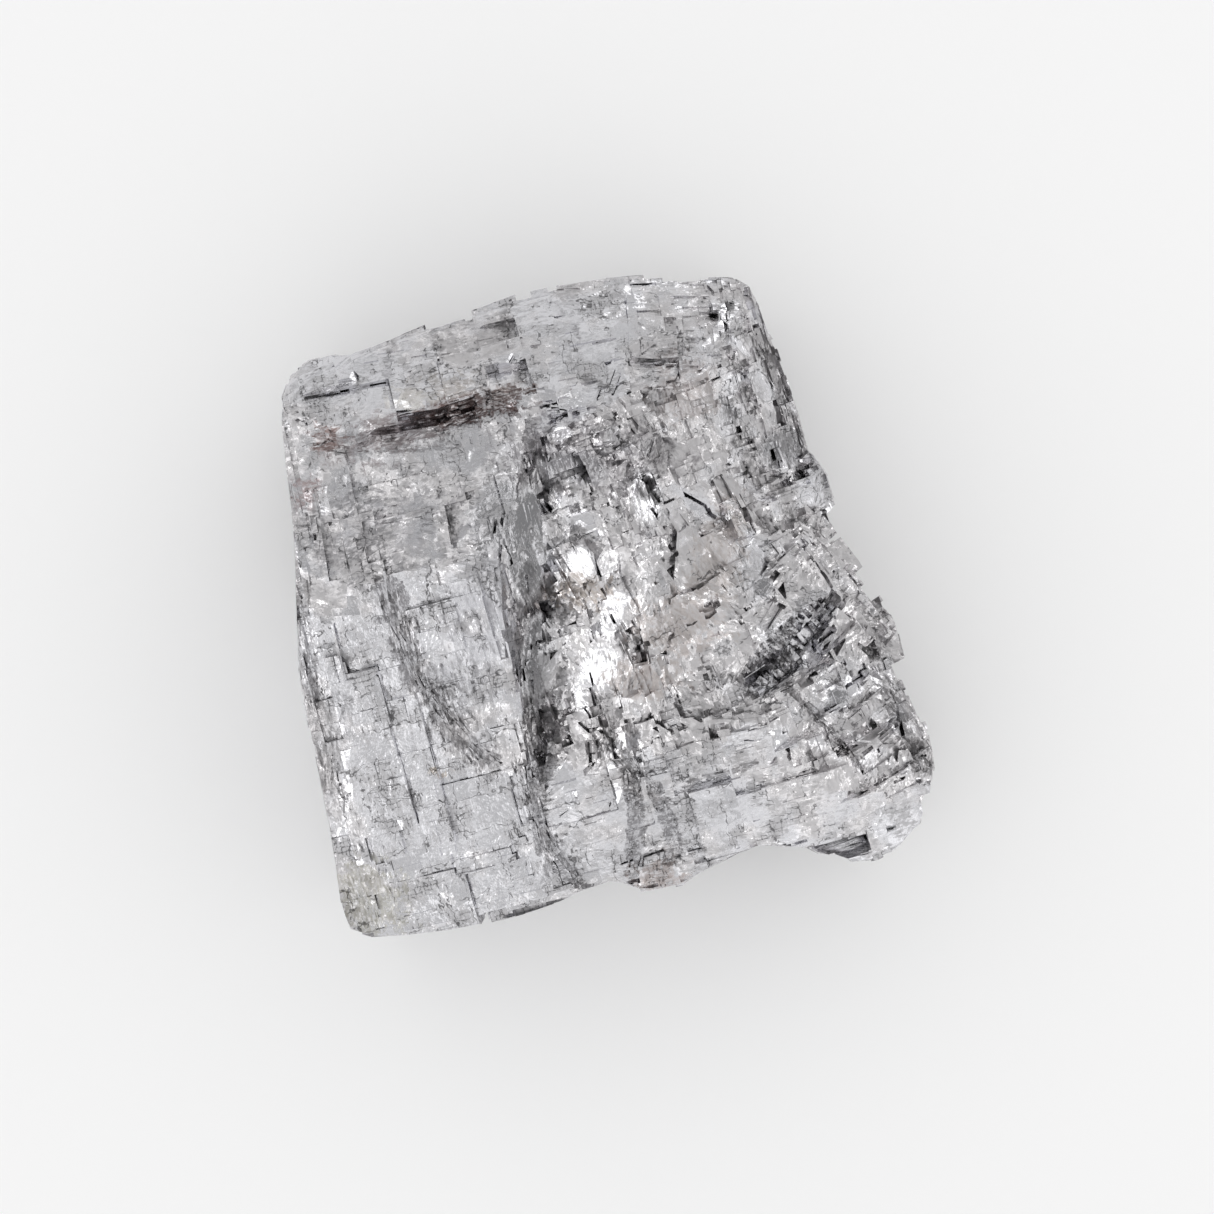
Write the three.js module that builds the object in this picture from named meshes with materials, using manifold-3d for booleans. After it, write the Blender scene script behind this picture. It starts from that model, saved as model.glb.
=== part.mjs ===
// A hand-sized cleavage chunk of raw galena, lying on its flattest face.
// Millimetres, +Z up. The origin is the middle of the bounding box's lowest face, on which it rests.
//
// The chunk is one crystal mass and one solid. Its broad form is a relief (ridges, valleys and
// shoulders, each a named line of x, y, z points) cut out of a flared side wall. Galena breaks in
// right-angled steps along its cubic cleavage, so that form is left with some stock on it, the
// space around it is split into boxes turned to the cleavage directions, and every box whose
// middle lies outside the true surface is cut away.

import * as THREE from "three";
import { mergeVertices } from "three/addons/utils/BufferGeometryUtils.js";
import Module from "manifold-3d";

const wasm = await Module();
wasm.setup();

// ---------------------------------------------------------------- driving dimensions

const FOOT_Z = 3; // height of the resting face, in the relief's own heights
const GIRDLE_Z = 15; // height at which the chunk is widest
const SHOULDER_Z = 30; // height at which the side wall has drawn in by SHOULDER_INSET
const WALL_TOP_Z = 42; // above every point of the relief
const FOOT_INSET = 2.4; // how far the resting face's edge lies inside the widest outline
const SHOULDER_INSET = 1.1;
const RING_REACH = 6; // how far past the outline the relief is carried before it is cut off
const RING_DROP = 4.5;
const RING_STRIDE = 3; // every third point of the outline has one beyond it
const RELIEF_DEPTH = 10; // how far under the resting face the relief's block reaches

// Stock left on the broad form, so that the steps have something to be cut from.
const RELIEF_STOCK = 0.5;
const WALL_STOCK = 0.35;

const degrees = THREE.MathUtils.degToRad;
const GALENA = { color: 0x9a9aa0, roughness: 0.35, metalness: 0.9 };

// Crystal domains: where each is centred, further centres of the same domain, how its cleavage
// directions are turned about X, Y, Z in degrees, and the length, width and thickness of the
// plates that it breaks into. A place belongs to the domain of the nearest centre.
const domains = {
  leftBlock: {
    at: [-19, -8, 26],
    also: [[-12.8, 0, 32], [-12.8, -6, 32], [-11.6, -12, 31], [-11, -19, 30], [-9, -26, 29]],
    turn: [8, -5, 15],
    plates: [11, 7.2, 1.1],
  },
  leftShoulder: {
    at: [-20, 10, 27],
    also: [[-12.8, 16, 32], [-12.8, 12, 32], [-12.8, 6, 32], [-28, 13, 29]],
    turn: [-2, -5, 13],
    plates: [9.6, 5.5, 1.1],
  },
  slab: {
    at: [-12, 26, 24],
    also: [[-28, 22.4, 27], [-20, 23.4, 28], [-8, 23.6, 30]],
    turn: [-32, -3, 12],
    plates: [9.6, 6, 1.2],
  },
  slabRight: { at: [4, 27, 24], also: [], turn: [-28, 7, 5], plates: [7.2, 5.3, 1.3] },
  valleyWall: {
    at: [-8, 0, 30],
    also: [[-8, 12, 30], [-8, 6, 30], [-7.9, -6, 30], [-7.6, -12, 30]],
    turn: [4, 52, 18],
    plates: [8.4, 4.8, 1.4],
  },
  peak: {
    at: [0, 3, 28],
    also: [[-3, 12, 29], [-3, 6, 29], [-3, 0, 29], [-3.2, -6, 29], [-3.6, -12, 29]],
    turn: [3, -20, 22],
    plates: [5.6, 3.4, 1.4],
  },
  behindPeak: {
    at: [9, 4, 28],
    also: [[8, -5, 28], [7, 13, 28]],
    turn: [4, 9, 24],
    plates: [5.6, 3.4, 1.3],
  },
  flank: { at: [17, 21, 20], also: [[14, 17, 25]], turn: [-6, 40, 21], plates: [8.4, 3, 1.4] },
  trench: { at: [20, 0, 26], also: [], turn: [6, 24, 40], plates: [5.6, 3.2, 1.4] },
  lowerFace: {
    at: [6, -23, 24],
    also: [[-1.6, -19, 29], [-0.6, -26, 28], [16, -20, 28], [24, -22, 27]],
    turn: [12, 3, 15],
    plates: [8.4, 5.3, 1.2],
  },
  toe: { at: [29, -12, 22], also: [[24, -13, 28]], turn: [10, 24, 24], plates: [6.4, 4.8, 1.4] },
};

// ---------------------------------------------------------------- outline, anticlockwise from above

const leftEdge = [
  [-32.9, 20.8], [-32.7, 17.8], [-32.4, 14.6], [-31.9, 11], [-31.5, 7.2], [-31.3, 2.2],
  [-31.2, -2.4], [-31.1, -6.6], [-30.6, -10.2], [-29.7, -13.4], [-28.9, -17.8], [-28, -21.8],
  [-27.2, -26], [-26.8, -30.6],
];
const bottomEdge = [
  [-26.1, -32.6], [-23.8, -33.3], [-20.4, -33], [-16, -32.6], [-12, -31.9], [-8.4, -30.9],
  [-5, -29.7], [-2.6, -28.5], [0.6, -27.4], [2, -27.8], [3.2, -28.7], [5.2, -28.5],
  [7.6, -28.1], [8.6, -27.2], [11.2, -25.9], [13.4, -24.7], [15.2, -23.9], [17.4, -24.1],
  [19.6, -24], [21.2, -24.8], [23.2, -24.7], [24.4, -25.9], [27.2, -25.6], [29.6, -24],
];
const rightEdge = [
  [31.6, -21.8], [32.6, -18.8], [33, -16], [32.4, -12.4], [31.2, -8.8], [29.9, -5],
  [29, -1.4], [27.5, 1], [25.9, 3.6], [24.3, 6.2], [23.2, 9.6], [22.2, 13.4], [21.1, 14.9],
  [20.2, 15.6], [19.6, 18], [18.6, 21.6], [17.2, 26], [16, 28], [15.4, 30.2], [14.4, 32.4],
];
const topEdge = [
  [13, 33.2], [9.2, 33.1], [4.8, 33.5], [-0.4, 33.1], [-4.8, 32.4], [-9.2, 31.5], [-12.4, 30.2],
  [-16.6, 29.1], [-20.4, 27.5], [-24.4, 25.9], [-25.6, 25.2], [-27.6, 25.5], [-30, 24.9],
  [-32, 23.4],
];
const edges = [...leftEdge, ...bottomEdge, ...rightEdge, ...topEdge];
const outline = edges.map(([x, y]) => new THREE.Vector2(x, y));

// ---------------------------------------------------------------- relief lines, x y z

const relief = {
  slabBack: [
    [-32.4, 22.6, 25.6], [-27, 24.6, 26.4], [-21, 26.4, 26.2], [-13, 29.2, 25.4], [-5, 31.2, 24.8],
    [4.8, 32, 24.4], [12.6, 31.8, 22.8],
  ],
  slabMiddle: [
    [-30.4, 21.2, 28.6], [-24.6, 22.6, 30.2], [-16.6, 24.6, 30.6], [-8.6, 26.4, 30],
    [-0.6, 26.4, 29.8], [6.2, 26.6, 28.4],
  ],
  slabLip: [
    [-31, 18.8, 29.4], [-26.6, 18.6, 31.6], [-20.8, 19.2, 32.8], [-16.6, 20, 33.5],
    [-12.6, 21.3, 33.9], [-7, 20.6, 34.1], [-1.8, 18.6, 34], [3.2, 16.9, 33.4],
  ],
  crackFloor: [
    [-27, 16.9, 31.1], [-23.4, 17, 30.9], [-20.4, 17.5, 30.7], [-16.8, 18.2, 30.6],
    [-13.6, 19.7, 31.4], [-10.4, 20, 32.4],
  ],
  brow: [
    [-31.4, 15.6, 30], [-27, 15.3, 32], [-20.8, 15.8, 32.9], [-16.4, 16.7, 33.3],
    [-12.4, 18.4, 33.7], [-8, 18.9, 33.6],
  ],
  leftShoulder: [
    [-30.9, 9, 30.8], [-22.8, 9, 33.9], [-16, 10.6, 34.6], [-11.6, 13.4, 34.3],
    [-30.2, 2, 32], [-23.6, 2, 34.9], [-16.8, 3, 35.5], [-13.2, 5, 35.3],
  ],
  hollowStep: [
    [-21.8, 1.8, 35.2], [-20.6, -2.6, 34.6], [-18.8, -5.6, 34], [-15.6, -6.4, 33.8],
    [-12, -6, 33.6],
  ],
  plateAboveStep: [[-19, 0.2, 35.4], [-17.6, -3.4, 35.1], [-14.2, -4.2, 34.9], [-12.2, -1, 35]],
  leftFace: [
    [-30, -4, 32.6], [-25, -6, 34.2], [-29, -12, 32.3], [-22, -12, 34.3], [-15.2, -11.6, 34],
    [-27.4, -19, 31.9], [-20, -20, 33.6], [-13, -20, 33.3], [-26.4, -26.4, 31], [-19.6, -27, 32.5],
    [-12.6, -26.6, 32.2], [-25.6, -31, 29.6], [-19.4, -31.2, 30.6], [-12.6, -30.2, 30.8],
  ],
  valleyWallTop: [
    [-8.6, 15.2, 33.3], [-9.4, 10.4, 33.8], [-10.4, 5, 34.4], [-10.2, -1, 34.2], [-9.2, -6, 33.8],
    [-8.4, -11, 33.2], [-7.9, -15, 32.6], [-7.6, -19, 32.1], [-7, -23.6, 31.8], [-4.6, -27.4, 31.2],
  ],
  valleyFloor: [
    [-6.2, 16.4, 31.2], [-5.8, 12, 28.8], [-5.4, 7, 27.4], [-5.4, 1.6, 27.2], [-6, -3.6, 27.8],
    [-6.7, -9, 28.6], [-6.6, -14, 29.4], [-6, -19, 30.3], [-5.6, -22.6, 30.2], [-3.4, -25.6, 29.6],
    [-2, -28, 29],
  ],
  recessUnderSlab: [[-3.6, 14.6, 29.4], [0, 13.8, 30], [2.2, 14.6, 31.4], [-3.8, 10.6, 28.4]],
  whiteFoot: [
    [-4, 5.4, 28.8], [-1.4, 5, 30], [-2.8, 1.4, 28.6], [-4, -4, 29.6], [-3.6, -10, 30.2],
    [-3.8, -14.6, 30.8],
  ],
  whiteSlope: [[0.6, 9.8, 30.8], [1.4, 5.2, 31.6], [0.6, 0, 31.4], [0.4, -6, 31.6], [0.2, -11.8, 31.8]],
  peakRidge: [
    [3.4, 13.8, 33.2], [4.4, 10.4, 34.3], [4.6, 6, 33.9], [3.6, 1.4, 33.6], [3, -4.4, 33.4],
    [3.6, -10.4, 33.1], [3.8, -16, 32.6],
  ],
  behindPeak: [
    [6, 14, 31.4], [7.6, 10.8, 31.6], [8.8, 6.4, 31.4], [8, 1, 31.9], [9, -4, 31.7],
    [8, -8.6, 31.6],
  ],
  diagonalRidge: [
    [13.6, 31, 24.6], [12, 28.6, 27.2], [9.4, 24.4, 30], [7, 21.2, 31.6], [4.8, 17.8, 32.4],
  ],
  rightFlank: [
    [15, 27.4, 23.4], [14.2, 22.4, 26.4], [17.2, 20, 23], [11, 20, 29.4], [12.6, 15.6, 29],
    [16.4, 15.4, 25.4], [18.8, 16, 22.4],
  ],
  flankStep: [
    [13.8, 12.8, 27.4], [16.8, 12.2, 25], [14.4, 8.8, 29.2], [18.6, 10.2, 26.2],
    [21.6, 11.4, 23],
  ],
  rightBlock: [
    [19.4, 5.4, 28.6], [23.4, 5, 23.6], [15.2, 1, 31], [20.8, 1.8, 28.8], [25.4, 1.4, 23.4],
    [13.6, -3.6, 31.3],
  ],
  trenchFloor: [
    [9, -8.8, 30.4], [13.4, -8.6, 28.8], [17, -6.2, 27.6], [20.2, -2.4, 26.8], [22.6, 0.8, 26.2],
  ],
  trenchNearSide: [
    [14.6, -11.4, 31.4], [18.6, -9.4, 30.8], [22, -5.4, 29.9], [24.4, -2.4, 28.2],
    [28, -4, 23.4],
  ],
  lowerRight: [
    [19.6, -13.6, 31.6], [24.6, -9.4, 30], [28.8, -9.6, 26.4], [25, -14.4, 30.8],
    [29.6, -13.4, 27.6], [13, -14.6, 32],
  ],
  bottomFace: [
    [-1.2, -15.2, 31.6], [5, -19.6, 31.5], [10.8, -16.8, 31.9], [18, -18, 31.6], [25.4, -18.4, 30.9],
    [30.6, -17.4, 28.8], [-0.4, -21, 31], [6, -23.4, 30.6], [12.8, -22, 30.4], [20.2, -22.2, 29.9],
    [26, -22.6, 29], [29.6, -21.6, 27.8], [1.6, -26, 29.6], [6.6, -27.2, 29.2],
  ],
};

// ---------------------------------------------------------------- named ledges

// Each is a plate of length and width that stands rise above the relief at [x, y], with its
// traces turned by some degrees. A plate with a negative rise is a right-angled pit.
const namedLedges = {
  plateAboveStep: { at: [-15.4, -1.8], size: [7.6, 5], rise: 0.75, turn: 15 },
  slabEndPlate: { at: [-27.6, 22.6], size: [5.4, 3.4], rise: 0.4, turn: 15 },
  slabCrestPlate: { at: [4.4, 27.6], size: [4.8, 8], rise: 0.5, turn: 3 },
  whiteBlock: { at: [-2.6, 4.4], size: [3.8, 4.6], rise: 1.2, turn: 20 },
  peakPlate: { at: [3, 9.6], size: [3, 6.4], rise: 0.8, turn: 17 },
  whiteStreak: { at: [1.2, -4.8], size: [2.6, 8], rise: 0.7, turn: 25 },
  stepStack: { at: [12.4, 9.8], size: [2.4, 6.8], rise: 0.8, turn: 22 },
  flankStrip: { at: [15.2, 20.6], size: [1.8, 8], rise: 0.6, turn: 22 },
  trenchRungLow: { at: [16.6, -6.6], size: [6.4, 1.5], rise: -0.9, turn: 42 },
  trenchRungMiddle: { at: [19, -3.4], size: [5.6, 1.5], rise: -1, turn: 42 },
  trenchRungHigh: { at: [21.4, -0.4], size: [4.6, 1.3], rise: -0.8, turn: 42 },
  flankHollow: { at: [16.2, 14], size: [5, 3], rise: -1, turn: 22 },
  lowerFacePit: { at: [8.6, -23.8], size: [1.4, 0.9], rise: -0.8, turn: 15 },
  slabPitHigh: { at: [10.1, 28.9], size: [1.2, 1.5], rise: -0.9, turn: 28 },
  slabPitLow: { at: [8.4, 26], size: [1.5, 1.2], rise: -0.9, turn: 34 },
  hollowBelowSlab: { at: [4.6, 20.4], size: [1.8, 2.6], rise: -1, turn: 17 },
  rightPit: { at: [26.2, -4.6], size: [1.9, 1.6], rise: -0.9, turn: 34 },
};
const PLATE_THICKNESS = 3;

// Whole corners and ledges that broke away below the widest level: the middle of each missing
// block, its length, width and height, and its turn about Z in degrees.
const missingBlocks = [
  { middle: [-31.5, -24, 6], size: [7, 19, 9], turn: 8 },
  { middle: [-33, 8, 4], size: [5, 22, 7], turn: 4 },
  { middle: [-12, -34.2, 5], size: [20, 5.4, 8], turn: 13 },
  { middle: [14, -27.6, 7], size: [13, 6, 10], turn: 17 },
  { middle: [32.6, -18, 5], size: [6, 14, 8], turn: 14 },
  { middle: [28.4, 6, 6], size: [7, 17, 9], turn: 24 },
  { middle: [18.6, 27, 4], size: [7, 13, 8], turn: 20 },
  { middle: [-4, 34.8, 6], size: [22, 5.6, 9], turn: 12 },
  { middle: [-26, 28.2, 4], size: [12, 5, 6], turn: 16 },
];

// Shallow steps broken into the resting face: their middle, length and width, and depth.
const footSteps = [
  { at: [-17, 12], size: [13, 9], depth: 0.7 },
  { at: [-8, -17], size: [10, 12], depth: 0.5 },
  { at: [14, 9], size: [9, 14], depth: 0.9 },
  { at: [17, -14], size: [12, 7], depth: 0.6 },
  { at: [2, 23], size: [14, 6], depth: 0.8 },
];
const FOOT_TURN = 14;

// ---------------------------------------------------------------- cleavage boxes

const ROOT_SIZE = 128; // side of the cube that each domain splits
const CLEAVAGE_SPACING = 0.5; // every cleavage plane lies at a multiple of this
const SPLIT_SPREAD = 0.32; // how far from the middle a box may be split, as a share of its side
const SIZE_SLACK = 1.7; // a box is whole once no side is more than this many times its plate's
const WALL_PLATE_SCALE = 1.75; // plates on the side wall are this much longer and wider
const UNCUT_SHARE = 0.06; // share of the boxes where the stock is left on
const PROBE = 0.5; // how far away the surface is felt for, to find which way it faces
const BITE_SIZE = 13; // a box of about this size may be set back as a whole group
const BITE_BELOW_Z = 19; // groups are set back only below this height
const BITES = [0, 0, 0.8, 1.6];
const BOX_GROWTH = 0.015625; // neighbouring boxes overlap by this much, so that no film is left
const SEED = 3;

// ---------------------------------------------------------------- small helpers

// A repeatable source of numbers from 0 to 1.
function seededRandom(seed) {
  let state = seed;
  return () => {
    state = (state + 0x6d2b79f5) | 0;
    let t = Math.imul(state ^ (state >>> 15), 1 | state);
    t = (t + Math.imul(t ^ (t >>> 7), 61 | t)) ^ t;
    return ((t ^ (t >>> 14)) >>> 0) / 4294967296;
  };
}

// A manifold-3d solid from a closed three.js geometry whose triangles share their corners.
function solidFrom(geometry) {
  return new wasm.Manifold(
    new wasm.Mesh({
      numProp: 3,
      vertProperties: new Float32Array(geometry.attributes.position.array),
      triVerts: new Uint32Array(geometry.index.array),
    }),
  );
}

// A three.js geometry from a manifold-3d solid.
function geometryFrom(solid) {
  const mesh = solid.getMesh();
  const geometry = new THREE.BufferGeometry();
  geometry.setAttribute("position", new THREE.BufferAttribute(new Float32Array(mesh.vertProperties), 3));
  geometry.setIndex(new THREE.BufferAttribute(new Uint32Array(mesh.triVerts), 1));
  return geometry;
}

// A solid turned and moved by a matrix. Its history is dropped on the way, so that the next cut
// can merge faces that lie flush.
function turned(solid, matrix) {
  return solidFrom(geometryFrom(solid).applyMatrix4(matrix));
}

// A box between two corners, as a solid.
function boxSolid(low, high) {
  const size = high.clone().sub(low).addScalar(BOX_GROWTH * 2);
  const centre = low.clone().add(high).multiplyScalar(0.5);
  const geometry = new THREE.BoxGeometry(size.x, size.y, size.z).translate(centre.x, centre.y, centre.z);
  geometry.deleteAttribute("normal");
  geometry.deleteAttribute("uv");
  return solidFrom(mergeVertices(geometry));
}

// Many solids as one, joined in halves. Reading its mesh settles each join at once, so that no
// long chain of joins is left waiting.
function joined(solids) {
  if (solids.length === 1) return solids[0];
  const half = Math.ceil(solids.length / 2);
  const both = joined(solids.slice(0, half)).add(joined(solids.slice(half)));
  both.getMesh();
  return both;
}

// A geometry from a list of Vector3 points and triangles of their indices.
function indexedGeometry(points, triangles) {
  const geometry = new THREE.BufferGeometry().setFromPoints(points);
  geometry.setIndex(triangles.flat());
  return geometry;
}

// The edges that only one of the triangles has.
function rimOf(triangles) {
  const sides = triangles.flatMap(([a, b, c]) => [[a, b], [b, c], [c, a]]);
  return sides.filter(([a, b]) => !sides.some(([c, d]) => c === b && d === a));
}

// Delaunay triangles of points in x and y, by adding one point at a time to a very large triangle.
function delaunay(points) {
  const far = 1000;
  const all = [...points, { x: -far, y: -far }, { x: far, y: -far }, { x: 0, y: far }];
  const circumcircleHolds = ([a, b, c], p) => {
    const [ax, ay, bx, by, cx, cy] = [a, b, c].flatMap((i) => [all[i].x - p.x, all[i].y - p.y]);
    const lift = (x, y) => x * x + y * y;
    return (
      ax * (by * lift(cx, cy) - cy * lift(bx, by)) -
        ay * (bx * lift(cx, cy) - cx * lift(bx, by)) +
        lift(ax, ay) * (bx * cy - by * cx) >
      0
    );
  };
  let triangles = [[points.length, points.length + 1, points.length + 2]];
  points.forEach((point, index) => {
    const bad = triangles.filter((t) => circumcircleHolds(t, point));
    triangles = triangles.filter((t) => !bad.includes(t));
    rimOf(bad).forEach(([a, b]) => triangles.push([a, b, index]));
  });
  return triangles.filter((t) => t.every((i) => i < points.length));
}

// ---------------------------------------------------------------- broad form

// Points of the relief, with a ring beyond the outline that carries the slope on and down.
function reliefPoints() {
  const inner = Object.values(relief).flat().map(([x, y, z]) => new THREE.Vector3(x, y, z));
  const ring = outline
    .filter((_, i) => i % RING_STRIDE === 0)
    .map((p) => {
      const nearest = inner.reduce((best, q) =>
        Math.hypot(q.x - p.x, q.y - p.y) < Math.hypot(best.x - p.x, best.y - p.y) ? q : best,
      );
      const out = p.clone().setLength(p.length() + RING_REACH);
      return new THREE.Vector3(out.x, out.y, nearest.z - RING_DROP);
    });
  return [...inner, ...ring];
}

// The relief as a closed block: its triangles and their stock on top, the same triangles far
// below, and walls.
function reliefBlock(points, triangles) {
  const above = points.map((p) => new THREE.Vector3(p.x, p.y, p.z + RELIEF_STOCK));
  const below = points.map((p) => new THREE.Vector3(p.x, p.y, FOOT_Z - RELIEF_DEPTH));
  const count = points.length;
  const rim = rimOf(triangles);
  const faces = [
    ...triangles,
    ...triangles.map(([a, b, c]) => [c + count, b + count, a + count]),
    ...rim.flatMap(([a, b]) => [[b, a, a + count], [b, a + count, b + count]]),
  ];
  return solidFrom(indexedGeometry([...above, ...below], faces));
}

// The outline drawn in by an inset, with its small corners rounded off by a number of passes.
function loopAt(inset, passes) {
  let loop = outline;
  for (let pass = 0; pass < passes; pass += 1) {
    loop = loop.map((p, i) => {
      const before = loop[(i + loop.length - 1) % loop.length];
      const after = loop[(i + 1) % loop.length];
      return p.clone().multiplyScalar(2).add(before).add(after).divideScalar(4);
    });
  }
  return loop.map((p) => p.clone().setLength(p.length() - inset));
}

// The side wall's levels from the resting face up.
const wallLevels = [
  { z: FOOT_Z, inset: FOOT_INSET, passes: 4 },
  { z: GIRDLE_Z, inset: 0, passes: 0 },
  { z: SHOULDER_Z, inset: SHOULDER_INSET, passes: 1 },
  { z: WALL_TOP_Z, inset: SHOULDER_INSET * 2, passes: 2 },
];

// The side wall and its stock as a closed solid, with flat caps.
function wallSolid() {
  const count = outline.length;
  const loops = wallLevels.map(({ inset, passes }) => loopAt(inset - WALL_STOCK, passes));
  const points = loops.flatMap((loop, level) => {
    const { z } = wallLevels[level];
    return loop.map((p) => new THREE.Vector3(p.x, p.y, z));
  });
  const faces = [];
  for (let level = 0; level + 1 < wallLevels.length; level += 1) {
    for (let i = 0; i < count; i += 1) {
      const a = level * count + i;
      const b = level * count + ((i + 1) % count);
      faces.push([a, b, b + count], [a, b + count, a + count]);
    }
  }
  const top = wallLevels.length - 1;
  const foot = THREE.ShapeUtils.triangulateShape(loops[0], []);
  const head = THREE.ShapeUtils.triangulateShape(loops[top], []);
  faces.push(...foot.map(([a, b, c]) => [c, b, a]));
  faces.push(...head.map((triangle) => triangle.map((i) => i + top * count)));
  return solidFrom(indexedGeometry(points, faces));
}

// ---------------------------------------------------------------- distance to the surface

// The relief's triangles with their normals, for looking up what lies under a place.
function reliefFaces(points, triangles) {
  return triangles.map((corners) => {
    const [a, b, c] = corners.map((i) => points[i]);
    return { a, b, c, normal: new THREE.Triangle(a, b, c).getNormal(new THREE.Vector3()) };
  });
}

// The relief's triangle over or under a place.
function faceAt(faces, x, y) {
  const side = (p, q) => (q.x - p.x) * (y - p.y) - (q.y - p.y) * (x - p.x);
  return faces.find(({ a, b, c }) => side(a, b) >= 0 && side(b, c) >= 0 && side(c, a) >= 0);
}

// The distance from a place to the outline, negative inside it.
function outlineDistance(x, y) {
  let nearest = Infinity;
  let inside = false;
  outline.forEach((a, i) => {
    const b = outline[(i + 1) % outline.length];
    const edge = b.clone().sub(a);
    const share = ((x - a.x) * edge.x + (y - a.y) * edge.y) / edge.lengthSq();
    const foot = a.clone().addScaledVector(edge, THREE.MathUtils.clamp(share, 0, 1));
    nearest = Math.min(nearest, Math.hypot(x - foot.x, y - foot.y));
    if (a.y > y !== b.y > y && x < (edge.x * (y - a.y)) / edge.y + a.x) inside = !inside;
  });
  return inside ? -nearest : nearest;
}

// How far the wall lies inside the widest outline at a height.
function insetAt(z) {
  const above = Math.max(1, wallLevels.findIndex((level) => level.z > z));
  const [low, high] = [wallLevels[above - 1], wallLevels[above]];
  return THREE.MathUtils.mapLinear(z, low.z, high.z, low.inset, high.inset);
}

// About how far a point lies outside the true surface, negative inside it, and whether that
// surface is the side wall.
function distanceToForm(faces, point) {
  const face = faceAt(faces, point.x, point.y);
  const overWall = outlineDistance(point.x, point.y) + insetAt(point.z);
  if (!face) return { distance: overWall, onWall: true };
  const overRelief = point.clone().sub(face.a).dot(face.normal);
  return { distance: Math.max(overRelief, overWall), onWall: overWall > overRelief };
}

// ---------------------------------------------------------------- splitting into boxes

// The surface as a domain meets it at a point: the distance to it, whether it is the side wall,
// and how squarely it faces each of the domain's three axes.
function surfaceNear(faces, matrix, point) {
  const here = distanceToForm(faces, point);
  const facing = [0, 1, 2].map((axis) => {
    const moved = new THREE.Vector3().setFromMatrixColumn(matrix, axis).multiplyScalar(PROBE).add(point);
    return Math.abs(distanceToForm(faces, moved).distance - here.distance) / PROBE;
  });
  return { ...here, facing };
}

// The sides of a plate along a domain's three axes: thin where the surface faces an axis most.
function plateSides({ facing, onWall }, [long, wide, thin]) {
  const order = [0, 1, 2].sort((a, b) => facing[a] - facing[b]);
  const scale = onWall ? WALL_PLATE_SCALE : 1;
  const sides = [0, 0, 0];
  sides[order[0]] = long * scale;
  sides[order[1]] = wide * scale;
  sides[order[2]] = thin;
  return sides;
}

// How far a point is from the nearest of a domain's centres.
function reachOf({ at, also }, point) {
  return Math.min(...[at, ...also].map(([x, y, z]) => Math.hypot(x - point.x, y - point.y, z - point.z)));
}

// How far the nearest domain is from a point, and which it is.
function nearestDomain(point) {
  return Object.entries(domains)
    .map(([name, domain]) => ({ name, reach: reachOf(domain, point) }))
    .reduce((best, other) => (other.reach < best.reach ? other : best));
}

// Splits one domain's cube again and again, and gives the boxes at the surface whose middle lies
// outside it, as one solid in the domain's own directions.
function cleavedOff(faces, name, matrix, random) {
  const domain = domains[name];
  const boxes = [];
  const split = (low, high, setBack) => {
    const size = high.clone().sub(low);
    const point = low.clone().add(high).multiplyScalar(0.5).applyMatrix4(matrix);
    const nearest = nearestDomain(point);
    if (reachOf(domain, point) - nearest.reach > size.length()) return;
    const surface = surfaceNear(faces, matrix, point);
    if (Math.abs(surface.distance) > size.length() / 2 + BITES.at(-1)) return;
    const sides = plateSides(surface, domain.plates);
    const ratios = size.toArray().map((side, axis) => side / sides[axis]);
    const axis = ratios.indexOf(Math.max(...ratios));
    if (ratios[axis] > SIZE_SLACK) {
      const isGroup = size.length() < BITE_SIZE * 2 && size.length() > BITE_SIZE && point.z < BITE_BELOW_Z;
      const bite = isGroup && setBack === null ? BITES[Math.floor(random() * BITES.length)] : setBack;
      const share = 0.5 + (random() * 2 - 1) * SPLIT_SPREAD;
      const steps = Math.round((size.getComponent(axis) * share) / CLEAVAGE_SPACING);
      const cut = low.getComponent(axis) + steps * CLEAVAGE_SPACING;
      split(low, high.clone().setComponent(axis, cut), bite);
      split(low.clone().setComponent(axis, cut), high, bite);
      return;
    }
    const distance = surface.distance + (setBack ?? 0);
    const reach = size.toArray().reduce((sum, side, i) => sum + (side / 2) * surface.facing[i], 0);
    const isOutside = distance > 0 && distance < reach + RELIEF_STOCK;
    if (isOutside && nearest.name === name && random() > UNCUT_SHARE) boxes.push(boxSolid(low, high));
  };
  const half = new THREE.Vector3().setScalar(ROOT_SIZE / 2);
  split(half.clone().negate(), half, null);
  return joined(boxes);
}

// The form with every domain's loose boxes cut away, each in the domain's own directions.
function cleaved(form, faces) {
  const random = seededRandom(SEED);
  return Object.entries(domains).reduce((solid, [name, { turn }]) => {
    const matrix = new THREE.Matrix4().makeRotationFromEuler(new THREE.Euler(...turn.map(degrees)));
    const loose = cleavedOff(faces, name, matrix, random);
    const cut = turned(solid, matrix.clone().invert()).subtract(loose);
    return turned(cut, matrix);
  }, form);
}

// ---------------------------------------------------------------- named ledges and breaks

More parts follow.
